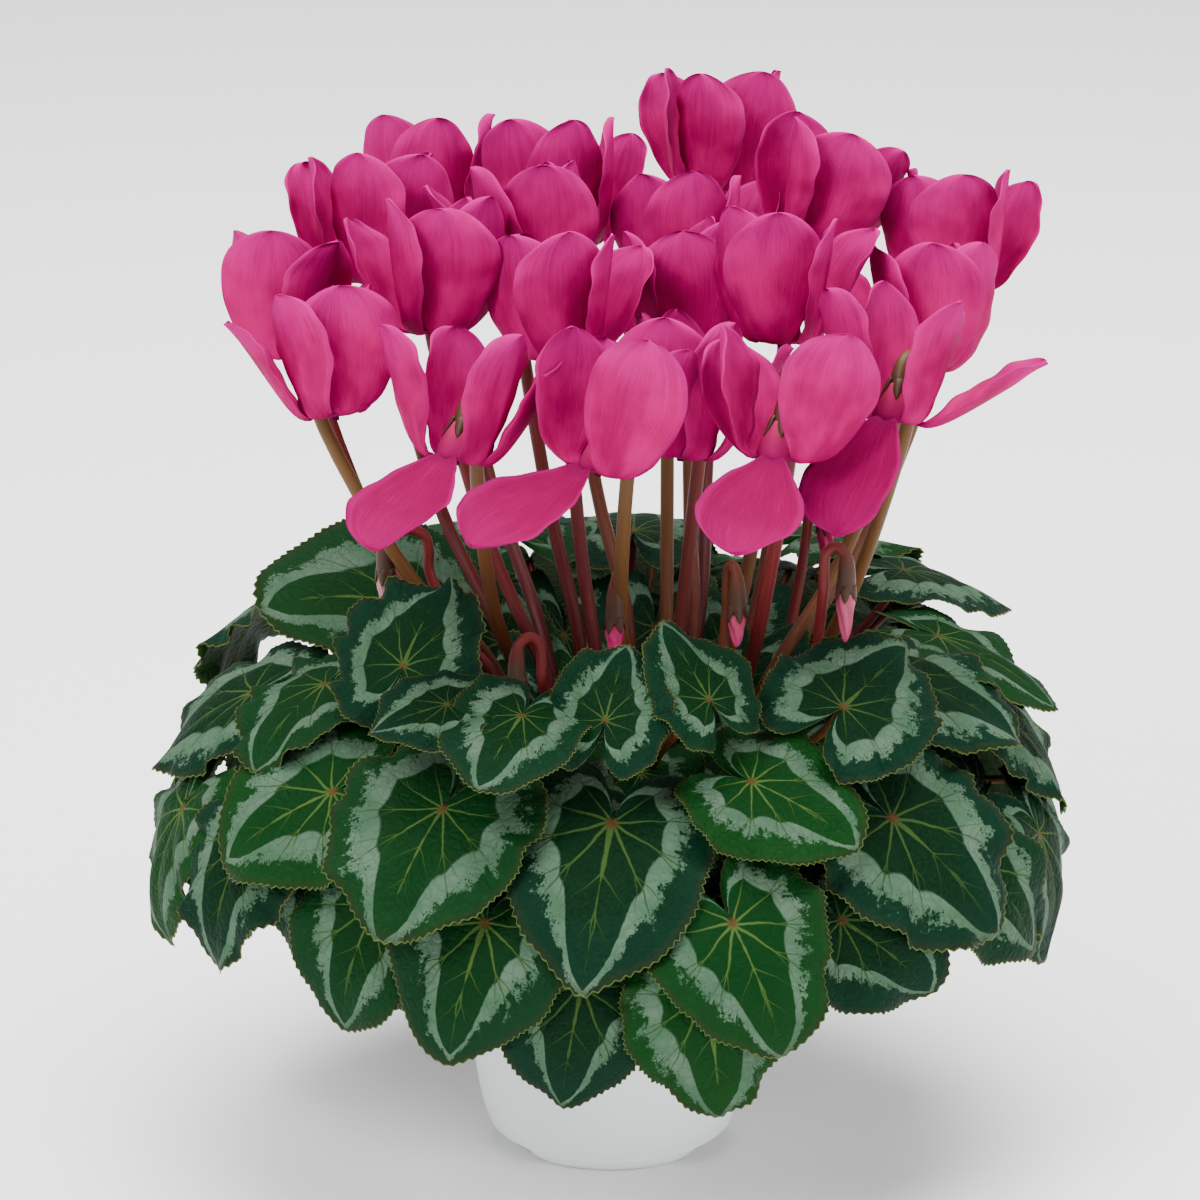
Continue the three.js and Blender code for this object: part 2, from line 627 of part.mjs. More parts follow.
function tuber() {
  const g = new THREE.SphereGeometry(TUBER_RADIUS, 14, 8);
  g.rotateX(Math.PI / 2).scale(1, 1, TUBER_HALF_HEIGHT / TUBER_RADIUS).translate(0, 0, TUBER_Z);
  return solid(g);
}

function potSolid() {
  let pot = turned(
    [
      [0, FLOOR_UNDERSIDE],
      [FOOT_RADIUS - 2.6, FLOOR_UNDERSIDE],
      [FOOT_RADIUS - 3, 0],
      [FOOT_RADIUS, 0],
      [FOOT_RADIUS + 3.5, 2.5],
      [FOOT_RADIUS + 6.2, 10],
      [SHOULDER_RADIUS, 22],
      [RIM_RADIUS, POT_HEIGHT - 4],
      [LIP_RADIUS, POT_HEIGHT - 3.2],
      [LIP_RADIUS, POT_HEIGHT],
      [RIM_RADIUS - WALL + 0.4, POT_HEIGHT],
      [SHOULDER_RADIUS - WALL, 22],
      [FOOT_RADIUS + 6.2 - WALL, 10.4],
      [FOOT_RADIUS + 3, FLOOR_UNDERSIDE + WALL],
      [0, FLOOR_UNDERSIDE + WALL],
    ],
    POT_SIDES,
  );
  const gap = new THREE.Shape();
  gap.moveTo(-15, -1);
  gap.lineTo(15, -1);
  gap.lineTo(12.6, FOOT_GAP_HEIGHT - 0.8);
  gap.lineTo(10.6, FOOT_GAP_HEIGHT);
  gap.lineTo(-10.6, FOOT_GAP_HEIGHT);
  gap.lineTo(-12.6, FOOT_GAP_HEIGHT - 0.8);
  gap.closePath();
  for (const az of [60, 180, 300]) {
    const g = new THREE.ExtrudeGeometry(gap, { depth: 24, bevelEnabled: false });
    g.rotateX(Math.PI / 2).translate(0, -26, 0).rotateZ(az * DEG);
    pot = pot.subtract(solid(g));
  }
  for (let k = 0; k < DRAIN_HOLES; k++) {
    const a = (2 * Math.PI * (k + 0.5)) / DRAIN_HOLES;
    const hole = new THREE.CylinderGeometry(DRAIN_RADIUS, DRAIN_RADIUS, 6, 8);
    hole.rotateX(Math.PI / 2).translate(DRAIN_CIRCLE * Math.cos(a), DRAIN_CIRCLE * Math.sin(a), 5);
    pot = pot.subtract(solid(hole));
  }
  return pot;
}

function soilSolid() {
  const top = SHOULDER_RADIUS + ((RIM_RADIUS - SHOULDER_RADIUS) * (SOIL_TOP - 22)) / (POT_HEIGHT - 26);
  const body = turned(
    [
      [0, FLOOR_UNDERSIDE + WALL + FIT],
      [FOOT_RADIUS + 2.3, FLOOR_UNDERSIDE + WALL + FIT],
      [FOOT_RADIUS + 4.4, 10.6],
      [SHOULDER_RADIUS - WALL - FIT - 0.2, 22.2],
      [top - WALL - FIT - 0.2, SOIL_TOP - 2],
      [top - WALL - 2.5, SOIL_TOP],
      [35, SOIL_TOP + 1.2],
      [0, SOIL_TOP + 1.6],
    ],
    28,
  );
  const hole = [[0, TUBER_Z - TUBER_HALF_HEIGHT - FIT]];
  for (const a of [25, 50, 70]) {
    const r = (TUBER_RADIUS + FIT) * Math.sin(a * DEG);
    hole.push([r, TUBER_Z - (TUBER_HALF_HEIGHT + FIT) * Math.cos(a * DEG)]);
  }
  hole.push([TUBER_RADIUS + FIT + 0.3, TUBER_Z - 1], [TUBER_RADIUS + FIT + 0.3, 90], [0, 90]);
  return body.subtract(turned(hole, 28));
}

// Colours
const WHITE = 0xe4e9e8;
const SOIL = 0x4a3428;
const STALK = 0x8e3a34;
const MAGENTA = 0xe0107c;
const PINK = 0xe83f95;
const GREENS = [0x2f6b3a, 0x2a5f3c, 0x3a7540, 0x335f45];

const group = new THREE.Group();

function add(name, made, color, roughness) {
  const material = new THREE.MeshStandardMaterial({ color, roughness, metalness: 0 });
  const mesh = new THREE.Mesh(geometryOf(made), material);
  mesh.name = name;
  group.add(mesh);
}

add("pot", potSolid(), WHITE, 0.35);
add("soil", soilSolid(), SOIL, 0.95);
const stalks = [tuber(), ...leaves.map(petioleSolid), ...blooms.map(bloomStalk), ...BUDS.map(budStalk)];
add("tuber_and_stalks", wasm.Manifold.union(stalks), STALK, 0.6);
const nodesOf = (list) => [...new Set(list.map((item) => item.node))];
nodesOf(leaves).forEach((node, i) => {
  const own = leaves.filter((leaf) => leaf.node === node);
  const made = wasm.Manifold.union(own.map(bladeSolid));
  add(node, made, GREENS[i % GREENS.length], 0.55);
});
nodesOf(blooms).forEach((node) => {
  const own = blooms.filter((bloom) => bloom.node === node);
  add(node, wasm.Manifold.union(own.map(bloomSolid)), MAGENTA, 0.5);
});
BUDS.forEach((bud, i) => add("bud_0" + (i + 1), budSolid(bud), PINK, 0.5));

export default group;
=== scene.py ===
from math import atan, cos, exp, floor, hypot, pi, sin, sqrt

import bpy
import numpy as np
from mathutils import Matrix


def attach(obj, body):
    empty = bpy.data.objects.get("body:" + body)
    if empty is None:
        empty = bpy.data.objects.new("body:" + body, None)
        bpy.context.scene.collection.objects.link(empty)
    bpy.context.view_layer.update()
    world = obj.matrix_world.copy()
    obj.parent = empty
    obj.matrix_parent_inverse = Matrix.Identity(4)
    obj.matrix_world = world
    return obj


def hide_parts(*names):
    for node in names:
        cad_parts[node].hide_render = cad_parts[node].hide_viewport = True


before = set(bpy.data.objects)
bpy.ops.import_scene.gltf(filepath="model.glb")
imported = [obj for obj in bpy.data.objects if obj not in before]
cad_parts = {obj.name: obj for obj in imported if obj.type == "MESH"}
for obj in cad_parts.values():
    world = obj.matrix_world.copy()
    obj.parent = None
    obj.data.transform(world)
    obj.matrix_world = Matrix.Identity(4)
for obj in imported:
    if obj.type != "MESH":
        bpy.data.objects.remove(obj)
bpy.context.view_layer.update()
MM = 0.001
DEG = pi / 180

# The camera, a little above the plant and in front of it, in metres and degrees
CAMERA_DISTANCE = 1.5
CAMERA_ELEVATION = 18.5
CAMERA_TARGET = (-0.0035, 0.0, 0.1835)
CAMERA_WIDTH = 0.384

# Driving dimensions, in millimetres, as in the solids
HEART = np.array([0.0, 0.0, 60.0])
CROWN = [104, 112, 131, 147, 154, 149, 127, 107, 95, 90, 90, 90, 90, 90]
CROWN_STEP = 15
CROWN_DEPTH_LOSS = 0.1
CROWN_FRONT_DROP = 14.4
BLADE = 1.0
BLADE_CLEARANCE = 3.0
TIP_SPREAD = 0.75
TIP_BLUNTNESS = 1.15
PETAL_WIDTH = 28.5
TUBE_HEIGHT = 12
JOINT_GAP = 0.35
PETIOLE_RADIUS = 1.5
STALK_RADIUS = 2.2
BUD_STALK_RADIUS = 1.7
BLOOM_SPACING = 42
SPACING_FALL = 0.15
TUBER_RADIUS = 22.5
TUBER_HALF_HEIGHT = 14
TUBER_Z = 80
SOIL_TOP = 83
DRAIN_HOLES = 5
DRAIN_RADIUS = 4
DRAIN_CIRCLE = 22

# Leaves from the lowest to the highest: number of the node, degrees down from the top and degrees round
# from the front at the leaf stalk, turn of the tip off straight down, length, breadth, tilt, and roll and
# lift where they aren't 0
LEAVES = [
    (1, 71, -4, -11, 46, 0.51, 0.2),
    (2, 72, 12, 9, 45, 0.51, 0.2),
    (3, 66, 33, 45, 42, 0.53, 0.2),
    (4, 64, -34, -11, 45, 0.52, 0.2),
    (5, 65, -76, 8, 46, 0.56, 0.2, 0, -1),
    (5, 62, -57, 0, 44, 0.53, 0.2),
    (6, 66, 58, 30, 42, 0.52, 0.2),
    (6, 68, 76, 0, 46, 0.58, 0.2),
    (7, 70, 102, 6, 48, 0.58, 0.2),
    (7, 67, 121, -6, 48, 0.58, 0.2),
    (8, 70, 148, 10, 46, 0.58, 0.2),
    (8, 68, 163, -8, 46, 0.58, 0.2),
    (9, 71, -171, 8, 46, 0.58, 0.2),
    (9, 68, -152, -6, 46, 0.58, 0.2),
    (10, 69, -127, 6, 46, 0.58, 0.2),
    (10, 67, -107, -8, 44, 0.56, 0.16),
    (11, 64, -17, -12, 46, 0.56, 0.18),
    (12, 64, 16, 18, 44, 0.55, 0.18),
    (13, 56, 44, 26, 50, 0.6, 0.16),
    (14, 53, -46, -40, 42, 0.62, 0.16),
    (15, 54, 86, 8, 44, 0.58, 0.16),
    (15, 52, 106, -6, 44, 0.58, 0.16),
    (16, 52, 129, 8, 46, 0.6, 0.16),
    (16, 50, 149, -6, 46, 0.6, 0.16),
    (17, 51, 173, 6, 43, 0.6, 0.08),
    (17, 52, -167, -6, 43, 0.58, 0.1),
    (18, 50, -143, 6, 45, 0.6, 0.14),
    (18, 52, -122, -8, 46, 0.58, 0.14),
    (19, 50, -84, -20, 44, 0.62, 0.2),
    (20, 51, 0, -10, 52, 0.54, 0.16),
    (21, 52, -25, -10, 40, 0.7, 0.2),
    (22, 48, 22, 46, 34, 0.6, 0.16),
    (23, 41, 65, 20, 40, 0.6, 0.2),
    (23, 43, 88, -10, 38, 0.6, 0.2),
    (24, 43, 40, 110, 32, 0.66, 0.15),
    (25, 42, -64, 20, 34, 0.64, 0.2),
    (26, 41, 113, 8, 38, 0.6, 0.25, 0, 2),
    (26, 38, 135, -8, 38, 0.6, 0.25, 0, 2),
    (27, 31, 174, 6, 40, 0.6, 0.25, 0, 6),
    (27, 32, -155, -4, 40, 0.6, 0.25, 0, 6),
    (28, 29, -102, 4, 40, 0.66, 0.3, -0.75, 0),
    (29, 37, -42, -172, 28, 0.72, 0.65),
    (30, 42, -1, 166, 20, 0.74, 0.6),
    (30, 40, 16, -160, 22, 0.62, 0.6, 0.2, 0),
    (30, 42, -14, -12, 24, 0.68, 0.25),
    (30, 42, -26, -50, 19, 0.7, 0.2, 0.2, 0),
]

# Blooms in the order of their nodes: mouth x, y, z; the way the mouth faces, degrees round from the
# front, and its tip-up; where its stalk passes the crown, x and y; petal length; lean of the five petals
# off upright, from the back left one round the front to the back right one
BLOOMS = [
    (-85, -36, 255, 32, 18, -38, -12, 44, (14, 10, 8, 8, 8)),
    (-47, -67, 250, -30, 20, -30, -20, 45, (12, 24, 132, 14, 8)),
    (-4, -78, 250, -50, 18, 5, -28, 47, (12, 10, 126, 9, 8)),
    (30, -27, 241, -32, 14, 20, -24, 48, (7, 6, 10, 6, 7)),
    (50, -76, 253, -20, 16, 42, -28, 44, (12, 12, 132, 14, 16)),
    (86, -52, 258, -28, 16, 64, -16, 46, (10, 20, 142, 14, 52)),
    (-54, -11, 275, 14, 10, -20, -28, 46, (7, 5, 10, 8, 8)),
    (-15, -22, 269, 0, 12, -4, -24, 45, (8, 8, 12, 7, 8)),
    (21, 14, 260, 15, 12, 17, -6, 47, (12, 8, 8, 8, 10)),
    (44, -18, 272, -10, 12, 36, -12, 45, (10, 7, 8, 8, 10)),
    (98, 4, 258, 10, 12, 52, -16, 45, (12, 8, 8, 12, 10)),
    (31, 59, 265, 4, 12, 26, 6, 49, (7, 7, 8, 7, 7)),
    (60, 59, 286, -60, 22, 44, 10, 43, (8, 12, 14, 10, 10)),
    (113, 49, 272, 0, 14, 60, 6, 44, (10, 10, 8, 6, 6)),
    (34, 105, 292, -20, 12, 28, 20, 46, (12, 10, 10, 10, 12)),
    (-15, 72, 281, 8, 12, 6, 16, 47, (12, 10, 10, 8, 8)),
    (-26, 25, 276, 25, 12, -10, 8, 49, (9, 9, 10, 8, 8)),
    (-57, 98, 277, 0, 12, -22, 16, 47, (12, 10, 10, 10, 12)),
    (-79, 44, 276, -10, 14, -34, 6, 47, (12, 12, 12, 10, 10)),
    (-101, 15, 259, -30, 16, -46, -12, 45, (16, 16, 12, 10, 12)),
]

# Buds: x, y, z at the foot of the calyx, the side its stalk rises on, degrees round from the front,
# reach of the hook, where its stalk passes the crown, bud length, share of cream in its colour
BUDS = [
    (-71, -20, 199, 105, 14, -36, -26, 12, 0.5),
    (-71, -35, 184, 100, 11, -42, -32, 11, 1.0),
    (-29, -60, 177, 110, 8, -18, -42, 11, 0.0),
    (1, -55, 195, 160, 6, 2, -40, 13, 0.0),
    (39, -45, 195, -150, 6, 33, -36, 12, 0.1),
    (72, -58, 206, -100, 7, 62, -34, 17, 0.15),
    (69, 10, 206, -100, 6, 56, 4, 13, 0.0),
]


# Repeatable draws, and directions about the plant

DRAW_FACTOR = 16807
DRAW_LIMIT = 2147483647


def draws(seed):
    """Draws between 0 and 1, the same on every run."""
    state = seed
    while True:
        state = state * DRAW_FACTOR % DRAW_LIMIT
        yield state / DRAW_LIMIT


def unit(v):
    return v / np.linalg.norm(v)


def facing(az):
    """The level direction az degrees round from the front."""
    return np.array([sin(az * DEG), -cos(az * DEG), 0.0])


def rightward(az):
    """The level direction at a right angle to facing(az)."""
    return np.array([cos(az * DEG), sin(az * DEG), 0.0])


def on_sphere(theta, az):
    """The direction theta degrees down from the top and az degrees round from the front."""
    s = sin(theta * DEG)
    return np.array([s * sin(az * DEG), -s * cos(az * DEG), cos(theta * DEG)])


# Leaves


def crown_radius(u):
    """How far the dome of leaves reaches from the heart in the directions u."""
    theta = np.arccos(np.clip(u[:, 2], -1, 1))
    x = theta / DEG / CROWN_STEP
    i = np.floor(x).astype(int)
    f = x - i
    c = np.array(CROWN, float)
    a, b, d, e = c[np.abs(i - 1)], c[i], c[i + 1], c[np.minimum(i + 2, len(CROWN) - 1)]
    bend = 2 * b + (d - a) * f + (2 * a - 5 * b + 4 * d - e) * f * f + (3 * b - a - 3 * d + e) * f**3
    s = np.sin(theta)
    front = np.where(s > 1e-9, -u[:, 1] / np.maximum(s, 1e-9), 0)
    depth = 1 - CROWN_DEPTH_LOSS * front**2 * s * s
    return 0.5 * bend * depth - CROWN_FRONT_DROP * front * s * np.maximum(u[:, 2], 0)


class Leaf:
    """A heart-shaped blade laid over the dome, with its own waves, droop and fold."""

    def __init__(self, row, draw):
        self.number, self.theta, az, turn, self.length, self.breadth, self.tilt, *more = row
        self.roll, self.lift = more or (0, 0)
        self.out = on_sphere(self.theta, az)
        down = on_sphere(self.theta + 90, az)
        self.tip = down * cos(turn * DEG) + rightward(az) * sin(turn * DEG)
        self.side = np.cross(self.out, self.tip)
        self.reach = crown_radius(self.out[None])[0]
        self.rise = 0
        self.waves = 5 + floor(next(draw) * 3)
        self.phase = 2 * pi * next(draw)
        self.wave = 0.03 + 0.02 * next(draw)
        self.droop = 0.03 + 0.05 * next(draw)
        self.fold = 0.04 + 0.06 * next(draw)
        self.sinus = 0.26 + 0.08 * next(draw)

    def outline(self, phi):
        """From the leaf stalk to the rim, at phi radians off the tip."""
        a = np.abs(phi)
        heart = self.breadth + (1 - self.breadth) * np.exp(-((a / TIP_SPREAD) ** TIP_BLUNTNESS))
        return self.length * heart * (1 - 0.93 * np.exp(-(((pi - a) / self.sinus) ** 2)))

    def radius(self, u, ring, phi, x, y):
        share = ring * ring * np.minimum(np.hypot(x, y) / (0.4 * self.length), 1)
        relief = self.length * share * (self.wave * np.sin(self.waves * phi + self.phase) - self.droop)
        slope = self.tilt * y + self.roll * x + self.fold * np.abs(x)
        return crown_radius(u) + self.lift + self.rise + slope + relief

    def at(self, ring, phi, grow=0.0):
        """Directions, radii and flat places of points, given by the share of the way to the rim."""
        r = ring * self.outline(phi) + grow
        x, y = r * np.sin(phi), r * np.cos(phi)
        u = self.out * self.reach + x[:, None] * self.side + y[:, None] * self.tip
        u /= np.linalg.norm(u, axis=1)[:, None]
        return u, self.radius(u, ring, phi, x, y), x, y

    def over(self, u):
        """Whether the blade lies across the directions u, and its radius there."""
        c = u @ self.out
        safe = np.where(c < 0.3, 1, c)
        x, y = (u @ self.side) * self.reach / safe, (u @ self.tip) * self.reach / safe
        phi = np.arctan2(x, y)
        ring = np.hypot(x, y) / self.outline(phi)
        return (c >= 0.3) & (ring <= 1.06), self.radius(u, ring, phi, x, y)

    def point(self, ring, phi, below):
        u, radius, _, _ = self.at(np.array([ring]), np.array([phi]))
        return HEART + u[0] * (radius[0] - below)

    def samples(self):
        ring = np.concatenate([[0], np.repeat([0.3, 0.55, 0.8, 1], 24)])
        turn = -pi + 2 * pi * (np.arange(24) + 0.5) / 24
        u, radius, _, _ = self.at(ring, np.concatenate([[0], np.tile(turn, 4)]))
        return u, radius

    def normal(self):
        along = self.point(0.55, 0, 0) - self.point(0, 0, 0)
        over = self.point(0.55, 100 * DEG, 0) - self.point(0.55, -100 * DEG, 0)
        return unit(np.cross(along, over))


def leaf_rise(own, lower):
    """How far the leaves of one node go up to clear all the lower ones."""
    rise = 0
    for leaf in own:
        u, radius = leaf.samples()
        for other in lower:
            hit, under = other.over(u)
            rise = max([rise, *(under + BLADE_CLEARANCE - radius)[hit]])
            v, top = other.samples()
            hit, above = leaf.over(v)
            rise = max([rise, *(top + BLADE_CLEARANCE - above)[hit]])
    return rise


leaf_draw = draws(4711)
leaves = [Leaf(row, leaf_draw) for row in LEAVES]
leaf_nodes = [[leaf for leaf in leaves if leaf.number == n] for n in range(1, leaves[-1].number + 1)]
for own in leaf_nodes:
    node_rise = leaf_rise(own, leaves[: leaves.index(own[0])])
    for leaf in own:
        leaf.rise = node_rise


# Meshes with the named values that their materials read


def in_scene(name, data):
    made = bpy.data.objects.new(name, data)
    bpy.context.scene.collection.objects.link(made)
    return made


def columns(*values):
    """Rows of values side by side, where a single number goes into every row."""
    return np.column_stack(np.broadcast_arrays(*values))


class Shell:
    """Closed sheets and bars that make one piece."""

    def __init__(self):
        self.verts = []
        self.faces = []
        self.form = []
        self.mark = []
        self.count = 0

    def add(self, verts, faces, form=(0, 0, 0), mark=(0, 0, 0)):
        n = len(verts)
        self.verts.append(np.asarray(verts, float))
        self.faces.extend([tuple(i + self.count for i in f) for f in faces])
        self.form.append(np.broadcast_to(np.asarray(form, float), (n, 3)))
        self.mark.append(np.broadcast_to(np.asarray(mark, float), (n, 3)))
        self.count += n

    def mesh(self, name):
        mesh = bpy.data.meshes.new(name)
        mesh.from_pydata((np.concatenate(self.verts) * MM).tolist(), [], self.faces)
        return mesh

    def make(self, name, material, nodes=()):
        mesh = self.mesh(name)
        for key, rows in (("form", self.form), ("mark", self.mark)):
            values = mesh.attributes.new(key, "FLOAT_VECTOR", "POINT")
            values.data.foreach_set("vector", np.concatenate(rows).astype(np.float32).ravel())
        mesh.shade_smooth()
        mesh.materials.append(material)
        piece = in_scene(name, mesh)
        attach(piece, "root")
        if nodes:
            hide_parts(*nodes)
        return piece


def round_band(low, high, count, upward=True):
    """Faces between two rings of count vertices, the rings starting at low and high."""
    faces = []
    for k in range(count):
        j = (k + 1) % count
        if upward:
            faces.append((low + k, low + j, high + j, high + k))
        else:
            faces.append((low + k, high + k, high + j, low + j))
    return faces


def tube_faces(rings, sides):
    """Faces of a closed body made of rings, the last one ahead of the first."""
    faces = []
    for i in range(rings - 1):
        faces += round_band(i * sides, (i + 1) * sides, sides)
    faces.append(tuple(range(sides - 1, -1, -1)))
    faces.append(tuple(range((rings - 1) * sides, rings * sides)))
    return faces


def sheet_faces(rows, columns, order):
    """Faces of a thin closed sheet: one grid of vertices, then its other side; order is 1 or -1."""
    m = columns + 1
    n = (rows + 1) * m
    faces = []
    for i in range(rows):
        for j in range(columns):
            q = (i * m + j, i * m + j + 1, (i + 1) * m + j + 1, (i + 1) * m + j)
            faces.append(q[::order])
            faces.append(tuple(n + k for k in q[::-order]))
        for j, way in ((0, order), (columns, -order)):
            q = (i * m + j, (i + 1) * m + j, n + (i + 1) * m + j, n + i * m + j)
            faces.append(q[::way])
    for i, way in ((0, -order), (rows, order)):
        for j in range(columns):
            q = (i * m + j, i * m + j + 1, n + i * m + j + 1, n + i * m + j)
            faces.append(q[::way])
    return faces


def bar(points, radii, sides):
    """Vertices, faces, values and length of a round bar along points."""
    points, radii = np.asarray(points, float), np.asarray(radii, float)
    n = len(points)
    verts, form = [], []
    across = np.array([0.31, 0.95, 0.05])
    steps = np.linalg.norm(np.diff(points, axis=0), axis=1)
    run = np.concatenate([[0], np.cumsum(steps)])
    for i in range(n):
        tangent = unit(points[min(i + 1, n - 1)] - points[max(i - 1, 0)])
        across = unit(across - tangent * (across @ tangent))
        other = np.cross(tangent, across)
        for k in range(sides):
            a = 2 * pi * k / sides
            verts.append(points[i] + radii[i] * (across * cos(a) + other * sin(a)))
            form.append((cos(a), sin(a), run[i]))
    return np.array(verts), tube_faces(n, sides), np.array(form), run[-1]


LINE_STEPS = 6


def smooth_line(points, radii):
    """A rounded line through points, with its radii."""
    p = np.asarray(points, float)
    r = np.asarray(radii, float)
    p = np.vstack([2 * p[0] - p[1], p, 2 * p[-1] - p[-2]])
    lengths = np.linalg.norm(np.diff(p, axis=0), axis=1)
    knots = np.concatenate([[0], np.cumsum(np.sqrt(lengths) + 1e-9)])

    def blend(a, b, first, last, t):
        return a + (b - a) * (t - knots[first]) / (knots[last] - knots[first])

    line, size = [], []
    for i in range(1, len(p) - 2):
        for k in range(LINE_STEPS):
            t = knots[i] + (knots[i + 1] - knots[i]) * k / LINE_STEPS
            a1 = blend(p[i - 1], p[i], i - 1, i, t)
            a2 = blend(p[i], p[i + 1], i, i + 1, t)
            a3 = blend(p[i + 1], p[i + 2], i + 1, i + 2, t)
            b1 = blend(a1, a2, i - 1, i + 1, t)
            b2 = blend(a2, a3, i, i + 2, t)
            line.append(blend(b1, b2, i, i + 1, t))
            size.append(r[i - 1] + (r[i] - r[i - 1]) * k / LINE_STEPS)
    return line + [p[-2]], size + [r[-1]]


def lathe(profile, sides, lobes=0.0, start=0.0):
    """Vertices and faces of a turned shape about +Z, with each vertex's angle and share of the profile."""
    verts, share = [], []
    for i, (r, z) in enumerate(profile):
        for k in range(sides):
            a = start + 2 * pi * k / sides
            bulge = r * (1 + lobes * cos(5 * a))
            verts.append((bulge * cos(a), bulge * sin(a), z))
            share.append((a, i / (len(profile) - 1)))
    return np.array(verts, float), tube_faces(len(profile), sides), np.array(share)


# Materials. The studio light shows the floor near white, so the plant's paints are darkened by one share.

PLANT_SHADE = 0.48


class Paint:
    """Short ways to write a node tree."""

    def __init__(self, name):
        self.material = bpy.data.materials.new(name)
        self.material.use_nodes = True
        self.tree = self.material.node_tree
        self.shader = self.tree.nodes["Principled BSDF"]

    def node(self, kind, **settings):
        made = self.tree.nodes.new(kind)
        for key, value in settings.items():
            setattr(made, key, value)
        return made

    def put(self, socket, value):
        if isinstance(value, bpy.types.NodeSocket):
            self.tree.links.new(value, socket)
        else:
            socket.default_value = value

    def fill(self, made, values):
        for socket, value in zip(made.inputs, values):
            self.put(socket, value)
        return made.outputs[0]

    def math(self, operation, *values):
        return self.fill(self.node("ShaderNodeMath", operation=operation), values)

    def add(self, a, b):
        return self.math("ADD", a, b)

    def times(self, a, b):
        return self.math("MULTIPLY", a, b)

    def times_add(self, a, factor, more):
        return self.math("MULTIPLY_ADD", a, factor, more)

    def size(self, a):
        return self.math("ABSOLUTE", a)

    def span(self, value, low, high):
        """0 at low to 1 at high, with soft ends."""
        made = self.node("ShaderNodeMapRange", interpolation_type="SMOOTHSTEP")
        return self.fill(made, (value, low, high, 0.0, 1.0))

    def mix(self, factor, a, b, blend="MIX"):
        made = self.node("ShaderNodeMix", data_type="RGBA", blend_type=blend)
        self.put(made.inputs[0], factor)
        for socket, value in ((made.inputs[6], a), (made.inputs[7], b)):
            self.put(socket, (*value, 1) if isinstance(value, tuple) else value)
        return made.outputs[2]

    def values(self, name):
        """The three numbers that a mesh holds under a name."""
        return self.parts(self.node("ShaderNodeAttribute", attribute_name=name).outputs["Vector"])

    def parts(self, vector):
        made = self.node("ShaderNodeSeparateXYZ")
        self.put(made.inputs[0], vector)
        return made.outputs[0], made.outputs[1], made.outputs[2]

    def vector(self, x, y, z=0.0):
        return self.fill(self.node("ShaderNodeCombineXYZ"), (x, y, z))

    def noise(self, vector, scale, detail=3.0, rough=0.55, output="Fac"):
        made = self.node("ShaderNodeTexNoise")
        self.put(made.inputs["Vector"], vector)
        made.inputs["Scale"].default_value = scale
        made.inputs["Detail"].default_value = detail
        made.inputs["Roughness"].default_value = rough
        return made.outputs[output]

    def cells(self, vector, scale, feature="DISTANCE_TO_EDGE"):
        made = self.node("ShaderNodeTexVoronoi", feature=feature)
        self.put(made.inputs["Vector"], vector)
        made.inputs["Scale"].default_value = scale
        return made.outputs["Distance"]

    def object_place(self):
        return self.node("ShaderNodeTexCoord").outputs["Object"]

    def bump(self, height, depth, strength):
        made = self.node("ShaderNodeBump")
        self.put(made.inputs["Height"], height)
        made.inputs["Distance"].default_value = depth
        made.inputs["Strength"].default_value = strength
        self.tree.links.new(made.outputs[0], self.shader.inputs["Normal"])

    def finish(self, color, roughness, specular, shade=1.0):
        if shade != 1.0:
            color = self.mix(1.0, color, (shade, shade, shade), "MULTIPLY")
        self.put(self.shader.inputs["Base Color"], (*color, 1) if isinstance(color, tuple) else color)
        self.put(self.shader.inputs["Roughness"], roughness)
        self.shader.inputs["Specular IOR Level"].default_value = specular
        return self.material


# Veins of a leaf, on its right half, for a leaf 50 long: start x, y, angle off the tip, reach, width
VEINS = [
    (0, 0, 0.0, 58, 0.95),
    (0, 0, 0.56, 44, 0.8),
    (0, 0, 1.14, 38, 0.75),
    (0, 0, 1.78, 36, 0.7),
    (0, 0, 2.42, 34, 0.6),
    (0, 15, 0.72, 22, 0.45),
    (0, 27, 0.6, 16, 0.4),
    (8.5, 13.6, 0.95, 20, 0.42),
    (8.5, 13.6, 0.22, 18, 0.42),
    (13.6, 6.3, 1.5, 18, 0.4),
    (13.6, 6.3, 0.82, 18, 0.4),
    (14.7, -3.1, 2.15, 16, 0.38),
]
VEIN_WARP = 2.6

# Colours of a leaf. In a pair, the paint goes from the first to the second.
LEAF_CENTRE = (0.001, 0.021, 0.007), (0.0025, 0.048, 0.0065)
LEAF_MARGIN = (0.003, 0.031, 0.017), (0.006, 0.062, 0.009)
LEAF_FLECK = (0.01, 0.075, 0.015)
LEAF_NET = (0.006, 0.035, 0.012)
SILVER = (0.08, 0.175, 0.1), (0.14, 0.235, 0.155)
SILVER_NET = (0.06, 0.155, 0.07)
VEIN_GREEN = (0.13, 0.24, 0.05), (0.05, 0.14, 0.035)
LEAF_FOOT = (0.15, 0.045, 0.02)
RIM_SHADE = (0.05, 0.045, 0.02)
RIM_TAN = (0.15, 0.19, 0.045), (0.24, 0.36, 0.09)
UNDERSIDE = (0.03, 0.1, 0.025), (0.05, 0.085, 0.025)
UNDERSIDE_VEIN = (0.16, 0.17, 0.08)


